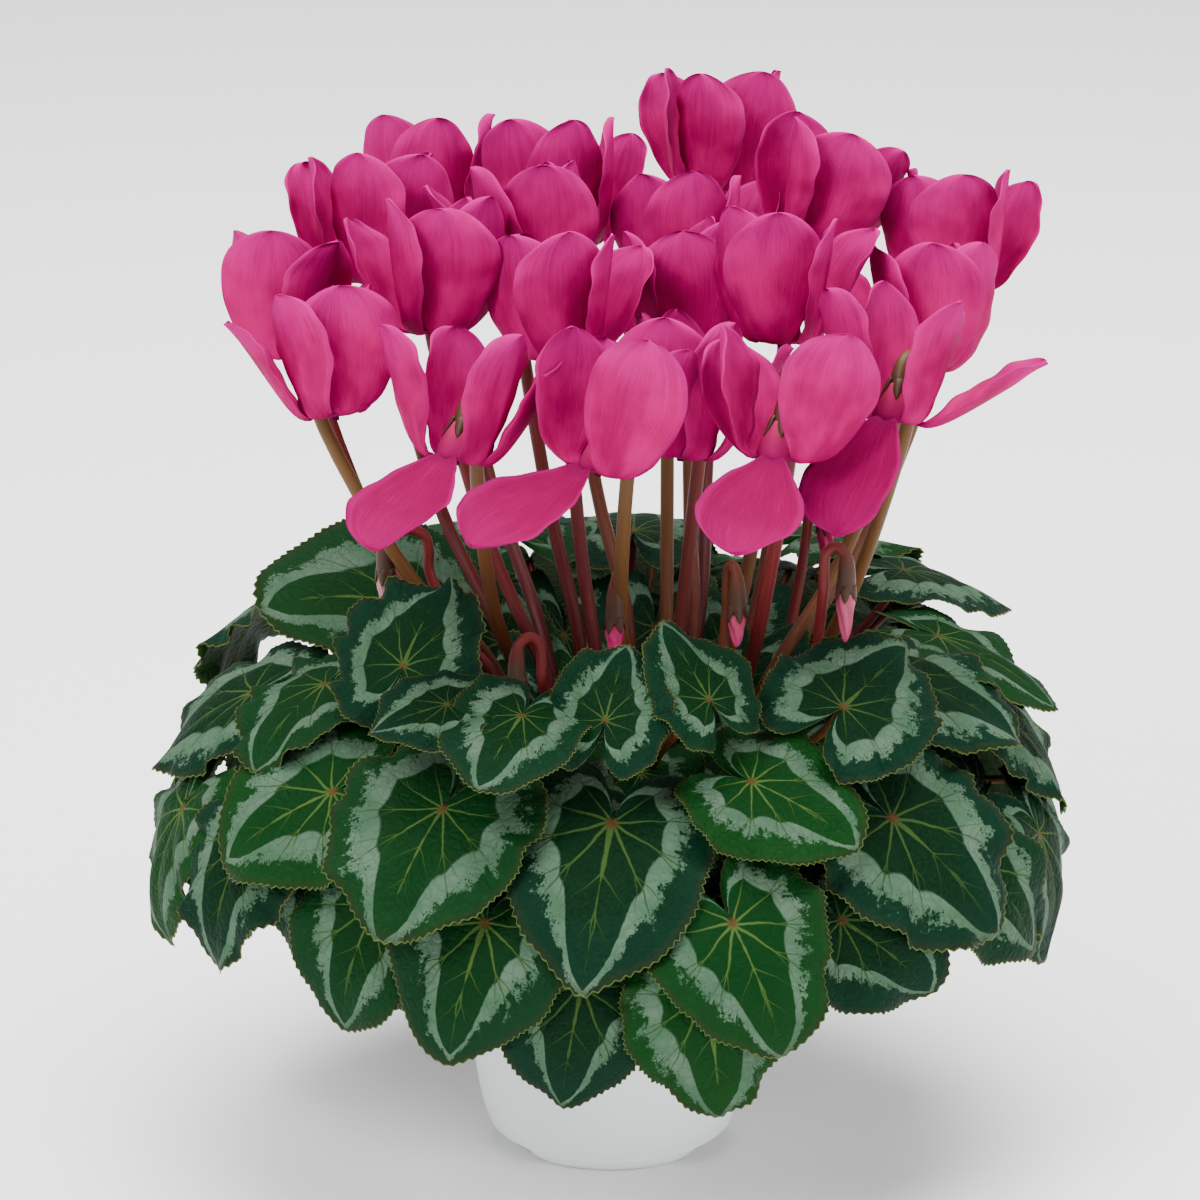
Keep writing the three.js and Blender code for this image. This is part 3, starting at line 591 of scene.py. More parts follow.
def vein_lines(p, x, y, flat):
    """1 on the veins of a leaf and 0 beside them."""
    warp_x, warp_y, _ = p.parts(p.noise(flat, 0.09, 2.0, 0.5, "Color"))
    wx = p.times_add(warp_x, VEIN_WARP, p.add(p.size(x), -VEIN_WARP / 2))
    wy = p.times_add(warp_y, VEIN_WARP, p.add(y, -VEIN_WARP / 2))
    vein = 0.0
    for px, py, angle, reach, width in VEINS:
        s, c = sin(angle), cos(angle)
        along = p.times_add(wy, c, p.times_add(wx, s, -px * s - py * c))
        off = p.times_add(wy, -s, p.times_add(wx, c, -px * c + py * s))
        left = p.times_add(along, -width / reach, width)
        line = p.span(p.math("SUBTRACT", left, p.size(off)), 0.0, 0.45)
        line = p.times(line, p.math("GREATER_THAN", along, -0.3))
        vein = p.math("MAXIMUM", line, vein)
    return vein


def silver_share(p, x, y, ring, band, seed, flat, fine):
    """The silver band: even on its inner edge, ragged on its outer one, with green specks."""
    turn = p.math("ARCTAN2", x, y)
    fan = p.vector(p.times(turn, 4.5), p.times(ring, 4.0), p.times(seed, 61.0))
    ragged = p.times_add(p.noise(fan, 1.5, 6.0, 0.72), 0.88, p.times(fine, 0.12))
    inner = p.span(p.times_add(fine, 0.1, p.add(band, -0.05)), -0.03, 0.1)
    outer = p.span(p.times_add(p.add(ragged, -0.5), 4.2, band), 1.06, 0.94)
    specks = p.span(p.times_add(band, 0.2, p.noise(flat, 1.3, 3.0, 0.7)), 0.8, 0.74)
    return p.times(p.times(inner, outer), specks)


def leaf_material():
    p = Paint("leaf")
    x, y, ring = p.values("form")
    band, seed, under = p.values("mark")
    flat = p.vector(x, y, p.times(seed, 97.0))
    vein = vein_lines(p, x, y, flat)
    net = p.cells(flat, 0.27)
    fine = p.noise(flat, 1.1, 4.0, 0.65)
    broad = p.noise(flat, 0.07, 2.0, 0.5)
    silver = silver_share(p, x, y, ring, band, seed, flat, fine)
    silver = p.times(silver, p.times_add(vein, -0.75, 1.0))
    # green: dark in the middle, bluer towards the rim, and different from leaf to leaf
    hue = p.math("FRACT", p.times(seed, 7.31))
    centre = p.mix(p.span(hue, 0.15, 0.95), *LEAF_CENTRE)
    margin = p.mix(p.span(hue, 0.3, 0.9), *LEAF_MARGIN)
    green = p.mix(p.span(p.times_add(broad, 0.5, ring), 0.7, 1.15), centre, margin)
    green = p.mix(p.times(p.span(fine, 0.35, 0.75), 0.3), green, LEAF_FLECK)
    green = p.mix(p.times(p.span(net, 0.06, 0.0), 0.3), green, LEAF_NET)
    pale = p.mix(p.span(broad, 0.3, 0.7), *SILVER)
    pale = p.mix(p.times(p.span(net, 0.09, 0.0), 0.45), pale, SILVER_NET)
    color = p.mix(silver, green, pale)
    lit = p.mix(p.span(ring, 0.2, 0.9), *VEIN_GREEN)
    color = p.mix(p.times(vein, p.times_add(hue, 0.35, 0.4)), color, lit)
    # red-brown where the leaf stalk joins, darker inside the rim, and a tan rim
    near = p.span(p.math("SQRT", p.add(p.times(x, x), p.times(y, y))), 2.4, 0.8)
    color = p.mix(p.times(near, 0.75), color, LEAF_FOOT)
    color = p.mix(p.times(p.span(ring, 0.9, 0.99), 0.35), color, RIM_SHADE)
    below = p.mix(p.span(broad, 0.35, 0.7), *UNDERSIDE)
    below = p.mix(p.times(vein, 0.6), below, UNDERSIDE_VEIN)
    color = p.mix(under, color, below)
    tan = p.mix(p.noise(flat, 0.6, 2.0), *RIM_TAN)
    color = p.mix(p.times(p.span(ring, 0.986, 0.998), 0.75), color, tan)
    height = p.times_add(vein, -0.7, p.times(p.span(net, 0.0, 0.25), 0.5))
    p.bump(p.times_add(fine, 0.25, height), 0.0006, 0.8)
    return p.finish(color, p.times_add(fine, 0.18, 0.48), 0.035, PLANT_SHADE)


PETAL_DEEP = (0.51, 0.0, 0.12), (0.84, 0.0, 0.222)
# painted shade: a darker petal colour for petals that hang down, which the top light reaches less
PETAL_HANGING_SHADE = (0.3, 0.0, 0.072)
PETAL_PALE = (0.9, 0.003, 0.38)
PETAL_VEIN_PALE = (0.86, 0.012, 0.35)
PETAL_VEIN_DARK = (0.42, 0.0, 0.11)
PETAL_RIM = (0.88, 0.02, 0.38)
PETAL_FOOT = (0.3, 0.003, 0.1)
TUBE_WALL = (0.42, 0.004, 0.13), (0.6, 0.03, 0.14)
TUBE_INSIDE = (0.12, 0.0015, 0.045)


def petal_material():
    p = Paint("petal")
    s, t, seed = p.values("form")
    wall, inside, hanging_shade = p.values("mark")
    shift = p.times(seed, 53.0)
    streak = p.noise(p.vector(p.times(s, 9.0), p.times(t, 1.1), shift), 1.6, 4.0, 0.6)
    vein = p.noise(p.vector(p.times(s, 34.0), p.times(t, 2.2), shift), 1.5, 4.0, 0.65)
    cloud = p.noise(p.vector(s, p.times(t, 2.0), shift), 1.3, 2.0)
    deep = p.mix(p.span(cloud, 0.3, 0.7), *PETAL_DEEP)
    # painted shade: petals that hang down get the darker colour and less of the pale pink
    deep = p.mix(p.times(hanging_shade, 0.85), deep, PETAL_HANGING_SHADE)
    pale_share = p.times(p.span(p.times_add(streak, 0.6, t), 0.8, 1.5), 0.8)
    pale_share = p.times(pale_share, p.times_add(hanging_shade, -0.8, 1.0))
    color = p.mix(pale_share, deep, PETAL_PALE)
    color = p.mix(p.times(p.span(vein, 0.52, 0.72), 0.25), color, PETAL_VEIN_PALE)
    color = p.mix(p.times(p.span(vein, 0.48, 0.3), 0.4), color, PETAL_VEIN_DARK)
    color = p.mix(p.times(p.span(p.size(s), 0.8, 1.0), 0.22), color, PETAL_RIM)
    color = p.mix(p.times(p.span(t, 0.12, 0.02), 0.75), color, PETAL_FOOT)
    color = p.mix(wall, color, p.mix(p.span(t, 0.0, 1.0), *TUBE_WALL))
    color = p.mix(inside, color, TUBE_INSIDE)
    p.bump(p.add(vein, streak), 0.0004, 0.5)
    return p.finish(color, p.times_add(streak, 0.16, 0.6), 0.02, PLANT_SHADE)


STALK_LOW = (0.075, 0.006, 0.009), (0.15, 0.016, 0.012)
STALK_HIGH = (0.22, 0.015, 0.018), (0.21, 0.095, 0.02)
STALK_FLECK = (0.24, 0.08, 0.04)
SEPAL = (0.07, 0.045, 0.02), (0.12, 0.035, 0.022)


def stalk_material():
    p = Paint("stalk")
    c, s, run = p.values("form")
    share, seed, sepal = p.values("mark")
    shift = p.times(seed, 41.0)
    grain = p.noise(p.vector(p.add(c, shift), s, p.times(run, 0.02)), 3.2, 4.0, 0.6)
    hue = p.math("FRACT", p.times(seed, 5.77))
    low = p.mix(p.span(hue, 0.2, 0.8), *STALK_LOW)
    high = p.mix(p.span(hue, 0.35, 0.9), *STALK_HIGH)
    color = p.mix(p.span(p.times_add(grain, 0.5, share), 0.3, 1.1), low, high)
    color = p.mix(p.times(p.span(grain, 0.5, 0.72), 0.45), color, STALK_FLECK)
    color = p.mix(sepal, color, p.mix(p.span(grain, 0.3, 0.7), *SEPAL))
    p.bump(grain, 0.0003, 0.5)
    return p.finish(color, p.times_add(grain, 0.2, 0.36), 0.2, PLANT_SHADE)


BUD_PINK = (0.9, 0.0, 0.2), (0.95, 0.04, 0.34)
BUD_HEAD = (0.7, 0.02, 0.16)
BUD_CREAM = (0.62, 0.55, 0.38), (0.75, 0.68, 0.6)


def bud_material():
    p = Paint("bud")
    a, t, cream = p.values("form")
    streak = p.noise(p.vector(p.times(a, 2.0), p.times(t, 1.5)), 3.0, 3.0)
    pink = p.mix(p.span(streak, 0.35, 0.7), *BUD_PINK)
    pink = p.mix(p.span(t, 0.1, 0.9), BUD_HEAD, pink)
    pale = p.mix(p.span(streak, 0.3, 0.7), *BUD_CREAM)
    p.bump(streak, 0.0003, 0.4)
    return p.finish(p.mix(cream, pink, pale), 0.4, 0.2, PLANT_SHADE)


PEAT = (0.02, 0.011, 0.007), (0.1, 0.06, 0.035)
PEAT_LUMP = (0.16, 0.1, 0.06)


def soil_material():
    p = Paint("soil")
    place = p.object_place()
    grain = p.noise(place, 420.0, 5.0, 0.7)
    lumps = p.cells(place, 260.0, "F1")
    color = p.mix(p.span(grain, 0.35, 0.7), *PEAT)
    color = p.mix(p.times(p.span(lumps, 0.5, 0.1), 0.4), color, PEAT_LUMP)
    p.bump(p.add(grain, lumps), 0.0012, 1.0)
    return p.finish(color, 0.92, 0.1, PLANT_SHADE)


POT_WHITE = (0.83, 0.87, 0.875), (0.88, 0.91, 0.91)


def pot_material():
    p = Paint("pot")
    place = p.object_place()
    cloud = p.noise(place, 14.0, 3.0)
    grain = p.noise(place, 900.0, 2.0)
    color = p.mix(p.span(cloud, 0.3, 0.7), *POT_WHITE)
    p.bump(p.add(grain, p.times(cloud, 2.0)), 0.0002, 0.25)
    return p.finish(color, p.times_add(grain, 0.1, 0.3), 0.45)


LEAF_PAINT = leaf_material()
PETAL_PAINT = petal_material()
STALK_PAINT = stalk_material()
BUD_PAINT = bud_material()
SOIL_PAINT = soil_material()
POT_PAINT = pot_material()


# Blades: toothed, veined sheets on the same dome as the solids. Their sizes are for a blade 50 long.

USUAL_LENGTH = 50
YOUNG_LENGTH = 36
YOUNG_FRILL = 1.9
YOUNG_FOLD = 1.7
TEETH = 96
TOOTH_VALLEY = -0.35
TOOTH_TIP = 0.25
TOOTH_TIP_DRAW = 0.75
BLADE_THICKNESS = 0.6
BLADE_THINNING = 0.25
PUFF = 0.9

# Share of the way from the leaf stalk to the rim, and vertices round
BLADE_RINGS = [(0.06, 24), (0.14, 48), (0.25, 48), (0.37, 48), (0.48, 96), (0.58, 96), (0.68, 96)]
BLADE_RINGS += [(0.78, 96), (0.87, 96), (0.94, 192), (1.0, 192)]
VEIN_ANGLES = np.array([0.0, 0.56, 1.14, 1.78, 2.42, pi])


def ring_step(low, low_count, start, count):
    """Faces between two rings, where the outer one has as many vertices or twice as many."""
    faces = []
    step = count // low_count
    for k in range(low_count):
        p, q = low + k, low + (k + 1) % low_count
        f = [start + (step * k + j) % count for j in range(step + 1)]
        if step == 1:
            faces.append((p, f[0], f[1], q))
        else:
            faces += [(p, f[0], f[1]), (p, f[1], q), (q, f[1], f[2])]
    return faces


def blade_grid():
    """Ring and angle of each vertex of a blade's upper side, and the faces of both sides and the rim."""
    ring, phi, flat = [0.0], [0.0], []
    low = low_count = 0
    for share, count in BLADE_RINGS:
        start = len(ring)
        ring += [share] * count
        phi += [-pi + 2 * pi * k / count for k in range(count)]
        if low_count:
            flat += ring_step(low, low_count, start, count)
        else:
            flat += [(0, start + k, start + (k + 1) % count) for k in range(count)]
        low, low_count = start, count
    n = len(ring)
    under = [tuple(n + i for i in reversed(f)) for f in flat]
    return np.array(ring), np.array(phi), flat + under + round_band(low, low + n, low_count, False)


BLADE_RING, BLADE_PHI, BLADE_FACES = blade_grid()
texture_draw = draws(1213)


def rim_growth(teeth, turn):
    """How far the outline stands out: teeth at the rim, and an uneven edge."""
    rim = np.arange(BLADE_RINGS[-1][1])
    grow = np.zeros(len(BLADE_RING))
    tips = TOOTH_TIP + TOOTH_TIP_DRAW * teeth[rim // 2]
    grow[-len(rim) :] = np.where(rim % 2, tips, TOOTH_VALLEY)
    phi = BLADE_PHI
    uneven = 0.7 * np.sin(4 * phi + 3 * turn) + 0.6 * np.sin(7 * phi + 5 * turn)
    uneven = uneven + 0.4 * np.sin(13 * phi + turn)
    return grow + uneven * BLADE_RING**2


def rim_crimp(leaf, spread, turn):
    """Crimps at the rim between the waves of the solid, and the fold of a young leaf."""
    phi = BLADE_PHI
    crimps = 8 + floor(5 * spread)
    crimp = np.sin(crimps * phi + 7 * turn) + 0.5 * np.sin((2 * crimps - 3) * phi + 2 * turn)
    young = leaf.length < YOUNG_LENGTH
    height = (YOUNG_FRILL if young else 1.0) * (0.7 + 1.5 * spread**2)
    relief = height * crimp * BLADE_RING**5 * leaf.length / USUAL_LENGTH
    if young:
        relief = relief + YOUNG_FOLD * np.sin(4 * phi + 9 * turn) * BLADE_RING**3
    return relief


def between_veins():
    """0 on the main veins and 1 midway between two."""
    a = np.abs(BLADE_PHI)
    cell = np.clip(np.searchsorted(VEIN_ANGLES, a, side="right") - 1, 0, len(VEIN_ANGLES) - 2)
    across = (a - VEIN_ANGLES[cell]) / (VEIN_ANGLES[cell + 1] - VEIN_ANGLES[cell])
    return np.sin(pi * np.clip(across, 0, 1))


def silver_band(lobe, seed, spread):
    """0 at the inner edge of the silver band and 1 at its outer one; it narrows at the tip and the heel."""
    a = np.abs(BLADE_PHI)
    start = 0.48 + 0.1 * spread + 0.42 * np.exp(-((a / 0.3) ** 2)) - 0.07 * lobe**0.7
    width = (0.16 + 0.15 * seed) * (1 - 0.8 * np.exp(-((a / 0.26) ** 2)))
    width *= 1 - 0.6 * np.exp(-(((pi - a) / 0.4) ** 2))
    return (BLADE_RING - start) / width


def blade(shell, leaf):
    seed = next(texture_draw)
    spread = next(texture_draw)
    teeth = np.array([next(texture_draw) for _ in range(TEETH)])
    turn = 2 * pi * seed
    share = leaf.length / USUAL_LENGTH
    u, radius, x, y = leaf.at(BLADE_RING, BLADE_PHI, rim_growth(teeth, turn) * share)
    lobe = between_veins()
    puff = PUFF * lobe * np.sin(pi * BLADE_RING**1.3) ** 2 * share
    radius = radius + rim_crimp(leaf, spread, turn) + puff
    thick = BLADE_THICKNESS - BLADE_THINNING * BLADE_RING**6
    sheets = [HEART + u * radius[:, None], HEART + u * (radius - thick)[:, None]]
    n = len(u)
    form = np.tile(columns(x / share, y / share, BLADE_RING), (2, 1))
    band = silver_band(lobe, seed, spread)
    mark = columns(np.tile(band, 2), seed, np.repeat([0.0, 1.0], n))
    shell.add(np.vstack(sheets), BLADE_FACES, form, mark)


for n, own in enumerate(leaf_nodes, 1):
    shell = Shell()
    for leaf in own:
        blade(shell, leaf)
    shell.make(f"blades_{n:02d}", LEAF_PAINT, [f"leaf_{n:02d}"])

# Small shaded leaves inside the dome, seen only through the gaps between the others: degrees down from
# the top, first degrees round from the front, number in the round, length, lift off the dome, tilt. The
# upper ones hang towards the front.
INNER_LEAVES = [
    (9, 100, 3, 30, -14, -0.5),
    (22, 160, 9, 32, -12, -0.75),
    (34, 10, 11, 34, -20, -0.3),
    (48, -8, 15, 38, -18, 0.1),
    (66, 8, 17, 39, -17, 0.1),
]
INNER_BREADTH = 0.66
INNER_SHIFT = 8
INNER_TURN = 50
INNER_LIFT = 5
inner_draw = draws(3131)


def inner_round(theta, first, count, length, lift, tilt):
    """One round of inner leaves, spaced evenly but for small draws."""
    made = []
    for k in range(count):
        az = first + 360 * k / count + INNER_SHIFT * (next(inner_draw) - 0.5)
        turn = (-az if tilt < 0 else 0) + INNER_TURN * (next(inner_draw) - 0.5)
        drawn_lift = lift - INNER_LIFT * next(inner_draw)
        row = (0, theta, az, turn, length, INNER_BREADTH, tilt, 0, drawn_lift)
        made.append(Leaf(row, inner_draw))
    return made


inner_leaves = []
for n, row in enumerate(INNER_LEAVES, 1):
    shell = Shell()
    for leaf in inner_round(*row):
        blade(shell, leaf)
        inner_leaves.append(leaf)
    shell.make(f"inner_leaves_{n}", LEAF_PAINT)


# Blooms

INNER_PETAL_AZ = 116
INNER_PETAL_LEAN = 24
FIRST_PETAL_AZ = -128
PETAL_ANGLE = 64
MOUTH_RADIUS = 6.2
MOUTH_RISE = 0.8
MOUTH_HEADING = 140
TURN_UP = 0.085
LINE_POINTS = 40
# lean past which a petal hangs and gets the painted shade
HANGING_LEAN = 70


class Petal:
    """A petal by its place on the mouth, its lean, twist and curl, and its middle line."""

    def __init__(self, spin, place, lean, length, draw):
        inner = place == (4 if spin > 0 else 0)
        az = spin * INNER_PETAL_AZ if inner else FIRST_PETAL_AZ + PETAL_ANGLE * place
        self.az = az + 6 * (next(draw) - 0.5)
        self.lean = max(lean, INNER_PETAL_LEAN) if inner else lean
        self.length = length * (0.96 + 0.08 * next(draw))
        self.width = PETAL_WIDTH + 2.5 * next(draw)
        self.twist = spin * (6 if lean > 40 else 22 + 5 * next(draw)) * (0.2 if inner else 1)
        self.curl = -14 + 24 * next(draw)
        self.cup = 0.22 + 0.1 * next(draw)
        self.wave = 0.8 * next(draw)
        self.phase = next(draw)
        self.line = self.middle_line()

    def middle_line(self):
        """Distance out, height and heading along the petal, which turns up out of the mouth."""
        r, h = MOUTH_RADIUS, MOUTH_RISE
        line = [(r, h, MOUTH_HEADING)]
        step = self.length / LINE_POINTS
        for i in range(LINE_POINTS):
            t = (i + 0.5) / LINE_POINTS
            turned = self.lean + (MOUTH_HEADING - self.lean) * exp(-t / TURN_UP)
            heading = turned + self.curl * (t - 0.4)
            r += step * sin(heading * DEG)
            h += step * cos(heading * DEG)
            line.append((r, h, heading))
        return np.array(line)


class Bloom:
    """A nodding bloom: the middle and directions of its mouth, and its five petals."""

    def __init__(self, row, n, draw):
        x, y, z, yaw, lean, way_x, way_y, length, leans = row
        self.mouth = np.array([x, y, z], float)
        self.way = (way_x, way_y)
        c, s = cos(lean * DEG), sin(lean * DEG)
        upright = np.array([0.0, 0.0, 1.0])
        self.up = upright * c - facing(yaw) * s
        self.front = facing(yaw) * c + upright * s
        self.right = rightward(yaw)
        spin = 1 if n % 2 else -1
        self.petals = [Petal(spin, k, value, length, draw) for k, value in enumerate(leans)]


def spread_out(blooms):
    """Moves blooms that are too close apart, sideways, in small steps."""
    for _ in range(60):
        for i, a in enumerate(blooms):
            for b in blooms[i + 1 :]:
                away = b.mouth[:2] - a.mouth[:2]
                gap = hypot(*away)
                lack = BLOOM_SPACING - SPACING_FALL * abs(b.mouth[2] - a.mouth[2]) - gap
                if lack > 0:
                    move = 0.25 * lack / gap
                    a.mouth[:2] -= move * away
                    b.mouth[:2] += move * away


bloom_draw = draws(90210)
blooms = [Bloom(row, n, bloom_draw) for n, row in enumerate(BLOOMS)]
spread_out(blooms)

PETAL_ROWS = 40
PETAL_COLUMNS = 14
PETAL_HALF_THICKNESS = 0.28
PETAL_THINNING = 0.14


def petal_half_width(petal, t):
    blunt = max(sin(pi * t**1.6), 0) ** 0.55
    return max(1.1 * petal.width / 2 * (0.2 * (1 - t) + blunt * (0.86 + 0.12 * t)), 0.2)


def petal_dish(petal, s, t, w, seed):
    """How far a petal's row stands off its middle line: cup, wave, ruffled edges, tip reflex, crease."""
    dish = petal.cup * s * s * w + petal.wave * s * sin(2 * pi * (1.3 * t + petal.phase)) * t
    ruffle = np.sin(13 * t + 9 * seed + 2.2 * s) + 0.5 * np.sin(29 * t + 23 * seed - 3 * s)
    dish = dish + 0.75 * np.abs(s) ** 3 * ruffle * t**0.5
    reflex = 0.9 * np.sin(5 * s + 17 * seed) + 1.6 * (seed - 0.3)
    dish = dish + reflex * max(t - 0.72, 0) ** 1.5 * 5
    return dish - 0.35 * np.exp(-((s / 0.16) ** 2)) * sin(pi * t)


def petal_sheet(shell, bloom, petal, seed):
    out = bloom.front * cos(petal.az * DEG) + bloom.right * sin(petal.az * DEG)
    across = -bloom.front * sin(petal.az * DEG) + bloom.right * cos(petal.az * DEG)
    s = np.linspace(-1, 1, PETAL_COLUMNS + 1)
    s = np.sign(s) * np.abs(s) ** 0.9
    steps = np.linspace(0, 1, len(petal.line))
    top, bottom, form = [], [], []
    for i in range(PETAL_ROWS + 1):
        # the rows are closer towards the rounded tip
        t = 1 - (1 - i / PETAL_ROWS) ** 1.7
        r, h, heading = (np.interp(t, steps, petal.line[:, k]) for k in range(3))
        along = out * sin(heading * DEG) + bloom.up * cos(heading * DEG)
        normal = np.cross(along, across)
        twist = petal.twist * min(t / 0.22, 1) * DEG
        wide = across * cos(twist) + normal * sin(twist)
        thick = normal * cos(twist) - across * sin(twist)
        w = petal_half_width(petal, t)
        uneven = 1 + 0.05 * t * np.sin(8 * t + 11 * seed + 2.5 * s)
        line = bloom.mouth + out * r + bloom.up * h + np.outer(s * w * uneven, wide)
        line = line + np.outer(petal_dish(petal, s, t, w, seed), thick)
        half = (PETAL_HALF_THICKNESS - PETAL_THINNING * np.abs(s) ** 3) * min(1, 0.4 + 3 * (1 - t))
        top.append(line + np.outer(half, thick))
        bottom.append(line - np.outer(half, thick))
        form.append(columns(s, t, seed))
    faces = sheet_faces(PETAL_ROWS, PETAL_COLUMNS, -1)
    # 1 on a hanging petal, where its paint puts a painted shade
    hanging_shade = float(petal.lean > HANGING_LEAN)
    shell.add(np.vstack(top + bottom), faces, np.vstack(form + form), (0, 0, hanging_shade))


# The corolla tube, distance out and height: the inside first, then round the mouth and up the wall
TUBE = [(1.1, -1.2), (1.3, 1.2), (0.9, 2.6), (3.6, 2.4), (5.2, 1.2), (5.9, 0.1), (6.5, 0.1), (6.8, 0.9)]
TUBE += [(6.6, 2.4), (6.1, 4.5), (5.5, 6.5), (4.8, 8.6), (4.0, 10.4), (3.2, 11.8), (2.6, 12.2)]
TUBE_INSIDE_END = 4.5
TUBE_SIDES = 30
TUBE_LOBES = 0.035


def corolla_tube(shell, bloom, seed):
    verts, faces, share = lathe(TUBE, TUBE_SIDES, TUBE_LOBES)
    spot = bloom.mouth + verts[:, :1] * bloom.front + verts[:, 1:2] * bloom.right + verts[:, 2:] * bloom.up
    faces = [tuple(reversed(f)) for f in faces]
    inside = share[:, 1] < TUBE_INSIDE_END / (len(TUBE) - 1)
    up = np.clip(verts[:, 2] / TUBE_HEIGHT, 0, 1)
    shell.add(spot, faces, columns(np.cos(share[:, 0]), up, seed), columns(1, inside, 0))


for n, bloom in enumerate(blooms, 1):
    shell = Shell()
    for petal in bloom.petals:
        petal_sheet(shell, bloom, petal, next(texture_draw))
    corolla_tube(shell, bloom, next(texture_draw))
    shell.make(f"petals_{n:02d}", PETAL_PAINT, [f"bloom_{n:02d}"])


# Stalks. The values of a stalk's vertex: its share of the way up, its draw, and 1 on the calyx.

HOOK = ((1, 0), (0.9, 0.7), (0.5, 1), (0.1, 0.75), (0, 0.3))
HOOK_HEIGHT = 8
HOOK_REACH = 11
ROOT_Z = 88
CROWN_PASS_Z = 166.0
STALK_BOW = 0.12
PETIOLE_ROOT_Z = 85
PETIOLE_RISE = 16
PETIOLE_RISE_Z = 132
PETIOLE_STRAIGHT_END = 34
PETIOLE_STEPS = 22
PETIOLE_SIDES = 10
SEPALS = 5
SEPAL_ROWS = 6
SEPAL_WIDTH = 1.7
SEPAL_TIP_WIDTH = 0.06
SEPAL_THICKNESS = 0.28
SEPAL_GAP = 0.25
USUAL_SEPAL_FOOT = 3.1


def hook(top, up, back, reach):
    """The bend at a stalk's end, from where it rises beside the top round into the top."""
    return [top + back * (a * reach) + up * (b * HOOK_HEIGHT) for a, b in HOOK]


def stalk_line(way, last, fan):
    """From the tuber past the crown of leaves, bowed outwards, to the hook."""
    root = np.array([way[0] * fan, way[1] * fan, ROOT_Z])
    passing = np.array([way[0], way[1], CROWN_PASS_Z])
    bow = unit(last[0] - last[1]) * STALK_BOW * np.linalg.norm(last[0] - passing)
    return [root, passing, (passing + last[0]) / 2 + bow, *last]


def hooked_stalk(shell, points, radii, sides, calyx_start, calyx_span, seed):
    line, size = smooth_line(points, radii)
    verts, faces, form, run = bar(line, size, sides)
    share = form[:, 2] / run
    on_calyx = np.clip((share - calyx_start) / calyx_span, 0, 1)
    shell.add(verts, faces, form, columns(share, seed, on_calyx))


def sepal(shell, top, up, out, foot, spread, length, seed):
    """A pointed sepal lying down over the head from the end of its stalk."""
    side = np.cross(up, out)
    verts, form = [], []
    for face in (0.0, SEPAL_THICKNESS):
        for i in range(SEPAL_ROWS + 1):
            t = i / SEPAL_ROWS
            w = SEPAL_TIP_WIDTH
            if t < 1:
                w = SEPAL_WIDTH * sin(pi * (0.22 + 0.78 * t)) ** 0.8 * (foot / USUAL_SEPAL_FOOT)
            r = foot + (spread - foot) * t**0.7 + SEPAL_GAP + face
            middle = top + out * r - up * (length * t)
            for s in (-1, 0, 1):
                verts.append(middle + side * (s * w) - out * (0.3 * w * abs(s)))
                form.append((s, t, 6 * t))
    shell.add(verts, sheet_faces(SEPAL_ROWS, 2, 1), form, (0.9, seed, 1))


def calyx(shell, top, up, front, right, foot, spread, length, seed):
    for k in range(SEPALS):
        a = (360 / SEPALS * k + 20) * DEG
        sepal(shell, top, up, front * cos(a) + right * sin(a), foot, spread, length, seed)


def petiole(shell, leaf):
    """A leaf stalk from the tuber, up inside the dome and square into its blade."""
    end = leaf.point(0, 0, BLADE) + leaf.normal() * 0.45
    away = unit(end * [1, 1, 0])
    root = away * (5 + 0.19 * leaf.theta) + np.array([0, 0, PETIOLE_ROOT_Z])
    rise = away * PETIOLE_RISE + np.array([0, 0, PETIOLE_RISE_Z])
    meet = end - leaf.normal() * PETIOLE_STRAIGHT_END
    t = np.linspace(0, 1, PETIOLE_STEPS)[:, None]
    line = root * (1 - t) ** 3 + 3 * rise * t * (1 - t) ** 2 + 3 * meet * t * t * (1 - t) + end * t**3
    radii = PETIOLE_RADIUS * (1 + 0.12 * (1 - t[:, 0]) - 0.1 * t[:, 0])
    verts, faces, form, _ = bar(line, radii, PETIOLE_SIDES)
    share = 0.8 * np.repeat(t[:, 0], PETIOLE_SIDES)
    shell.add(verts, faces, form, columns(share, next(texture_draw), 0))


def flower_stalk(shell, bloom):
    seed = next(texture_draw)
    top = bloom.mouth + bloom.up * (TUBE_HEIGHT + JOINT_GAP)
    back = -bloom.front
    last = hook(top, bloom.up, back, HOOK_REACH)
    last.insert(0, last[0] - bloom.up * 9 + back * 0.5)
    last.append(top - bloom.up * 0.6)
    points = stalk_line(bloom.way, last, 0.3)
    radii = [STALK_RADIUS * 1.05] + [STALK_RADIUS] * (len(points) - 3) + [2.7, 3.1]
    hooked_stalk(shell, points, radii, 14, 0.93, 0.07, seed)
    calyx(shell, top + bloom.up * 1.2, bloom.up, bloom.front, bloom.right, 2.7, 5.0, 6.5, seed)


def bud_stalk(shell, bud):
    x, y, z, side, reach, way_x, way_y, _, _ = bud
    seed = next(texture_draw)
    foot = np.array([x, y, z], float)
    back = facing(side)
    up = np.array([0, 0, 1.0])
    last = hook(foot + up * 6, up, back, reach)
    last.insert(0, last[0] - up * 6)
    last.append(foot - up * 0.4)
    points = stalk_line((way_x, way_y), last, 0.34)
    radii = [BUD_STALK_RADIUS] * (len(points) - 2) + [2.5, 3.2]
    hooked_stalk(shell, points, radii, 12, 0.9, 0.06, seed)
    calyx(shell, foot + up * 2.2, up, back, np.cross(up, back), 2.6, 3.0, 5.5, seed)


STALKS = [
    ("leaf_stalks", petiole, leaves + inner_leaves, ["tuber_and_stalks"]),
    ("flower_stalks", flower_stalk, blooms, []),
    ("bud_stalks", bud_stalk, BUDS, []),
]
for name, add_stalk, owners, nodes in STALKS:
    shell = Shell()
    for owner in owners:
        add_stalk(shell, owner)
    shell.make(name, STALK_PAINT, nodes)


# Buds: furled spindles with twisted ridges

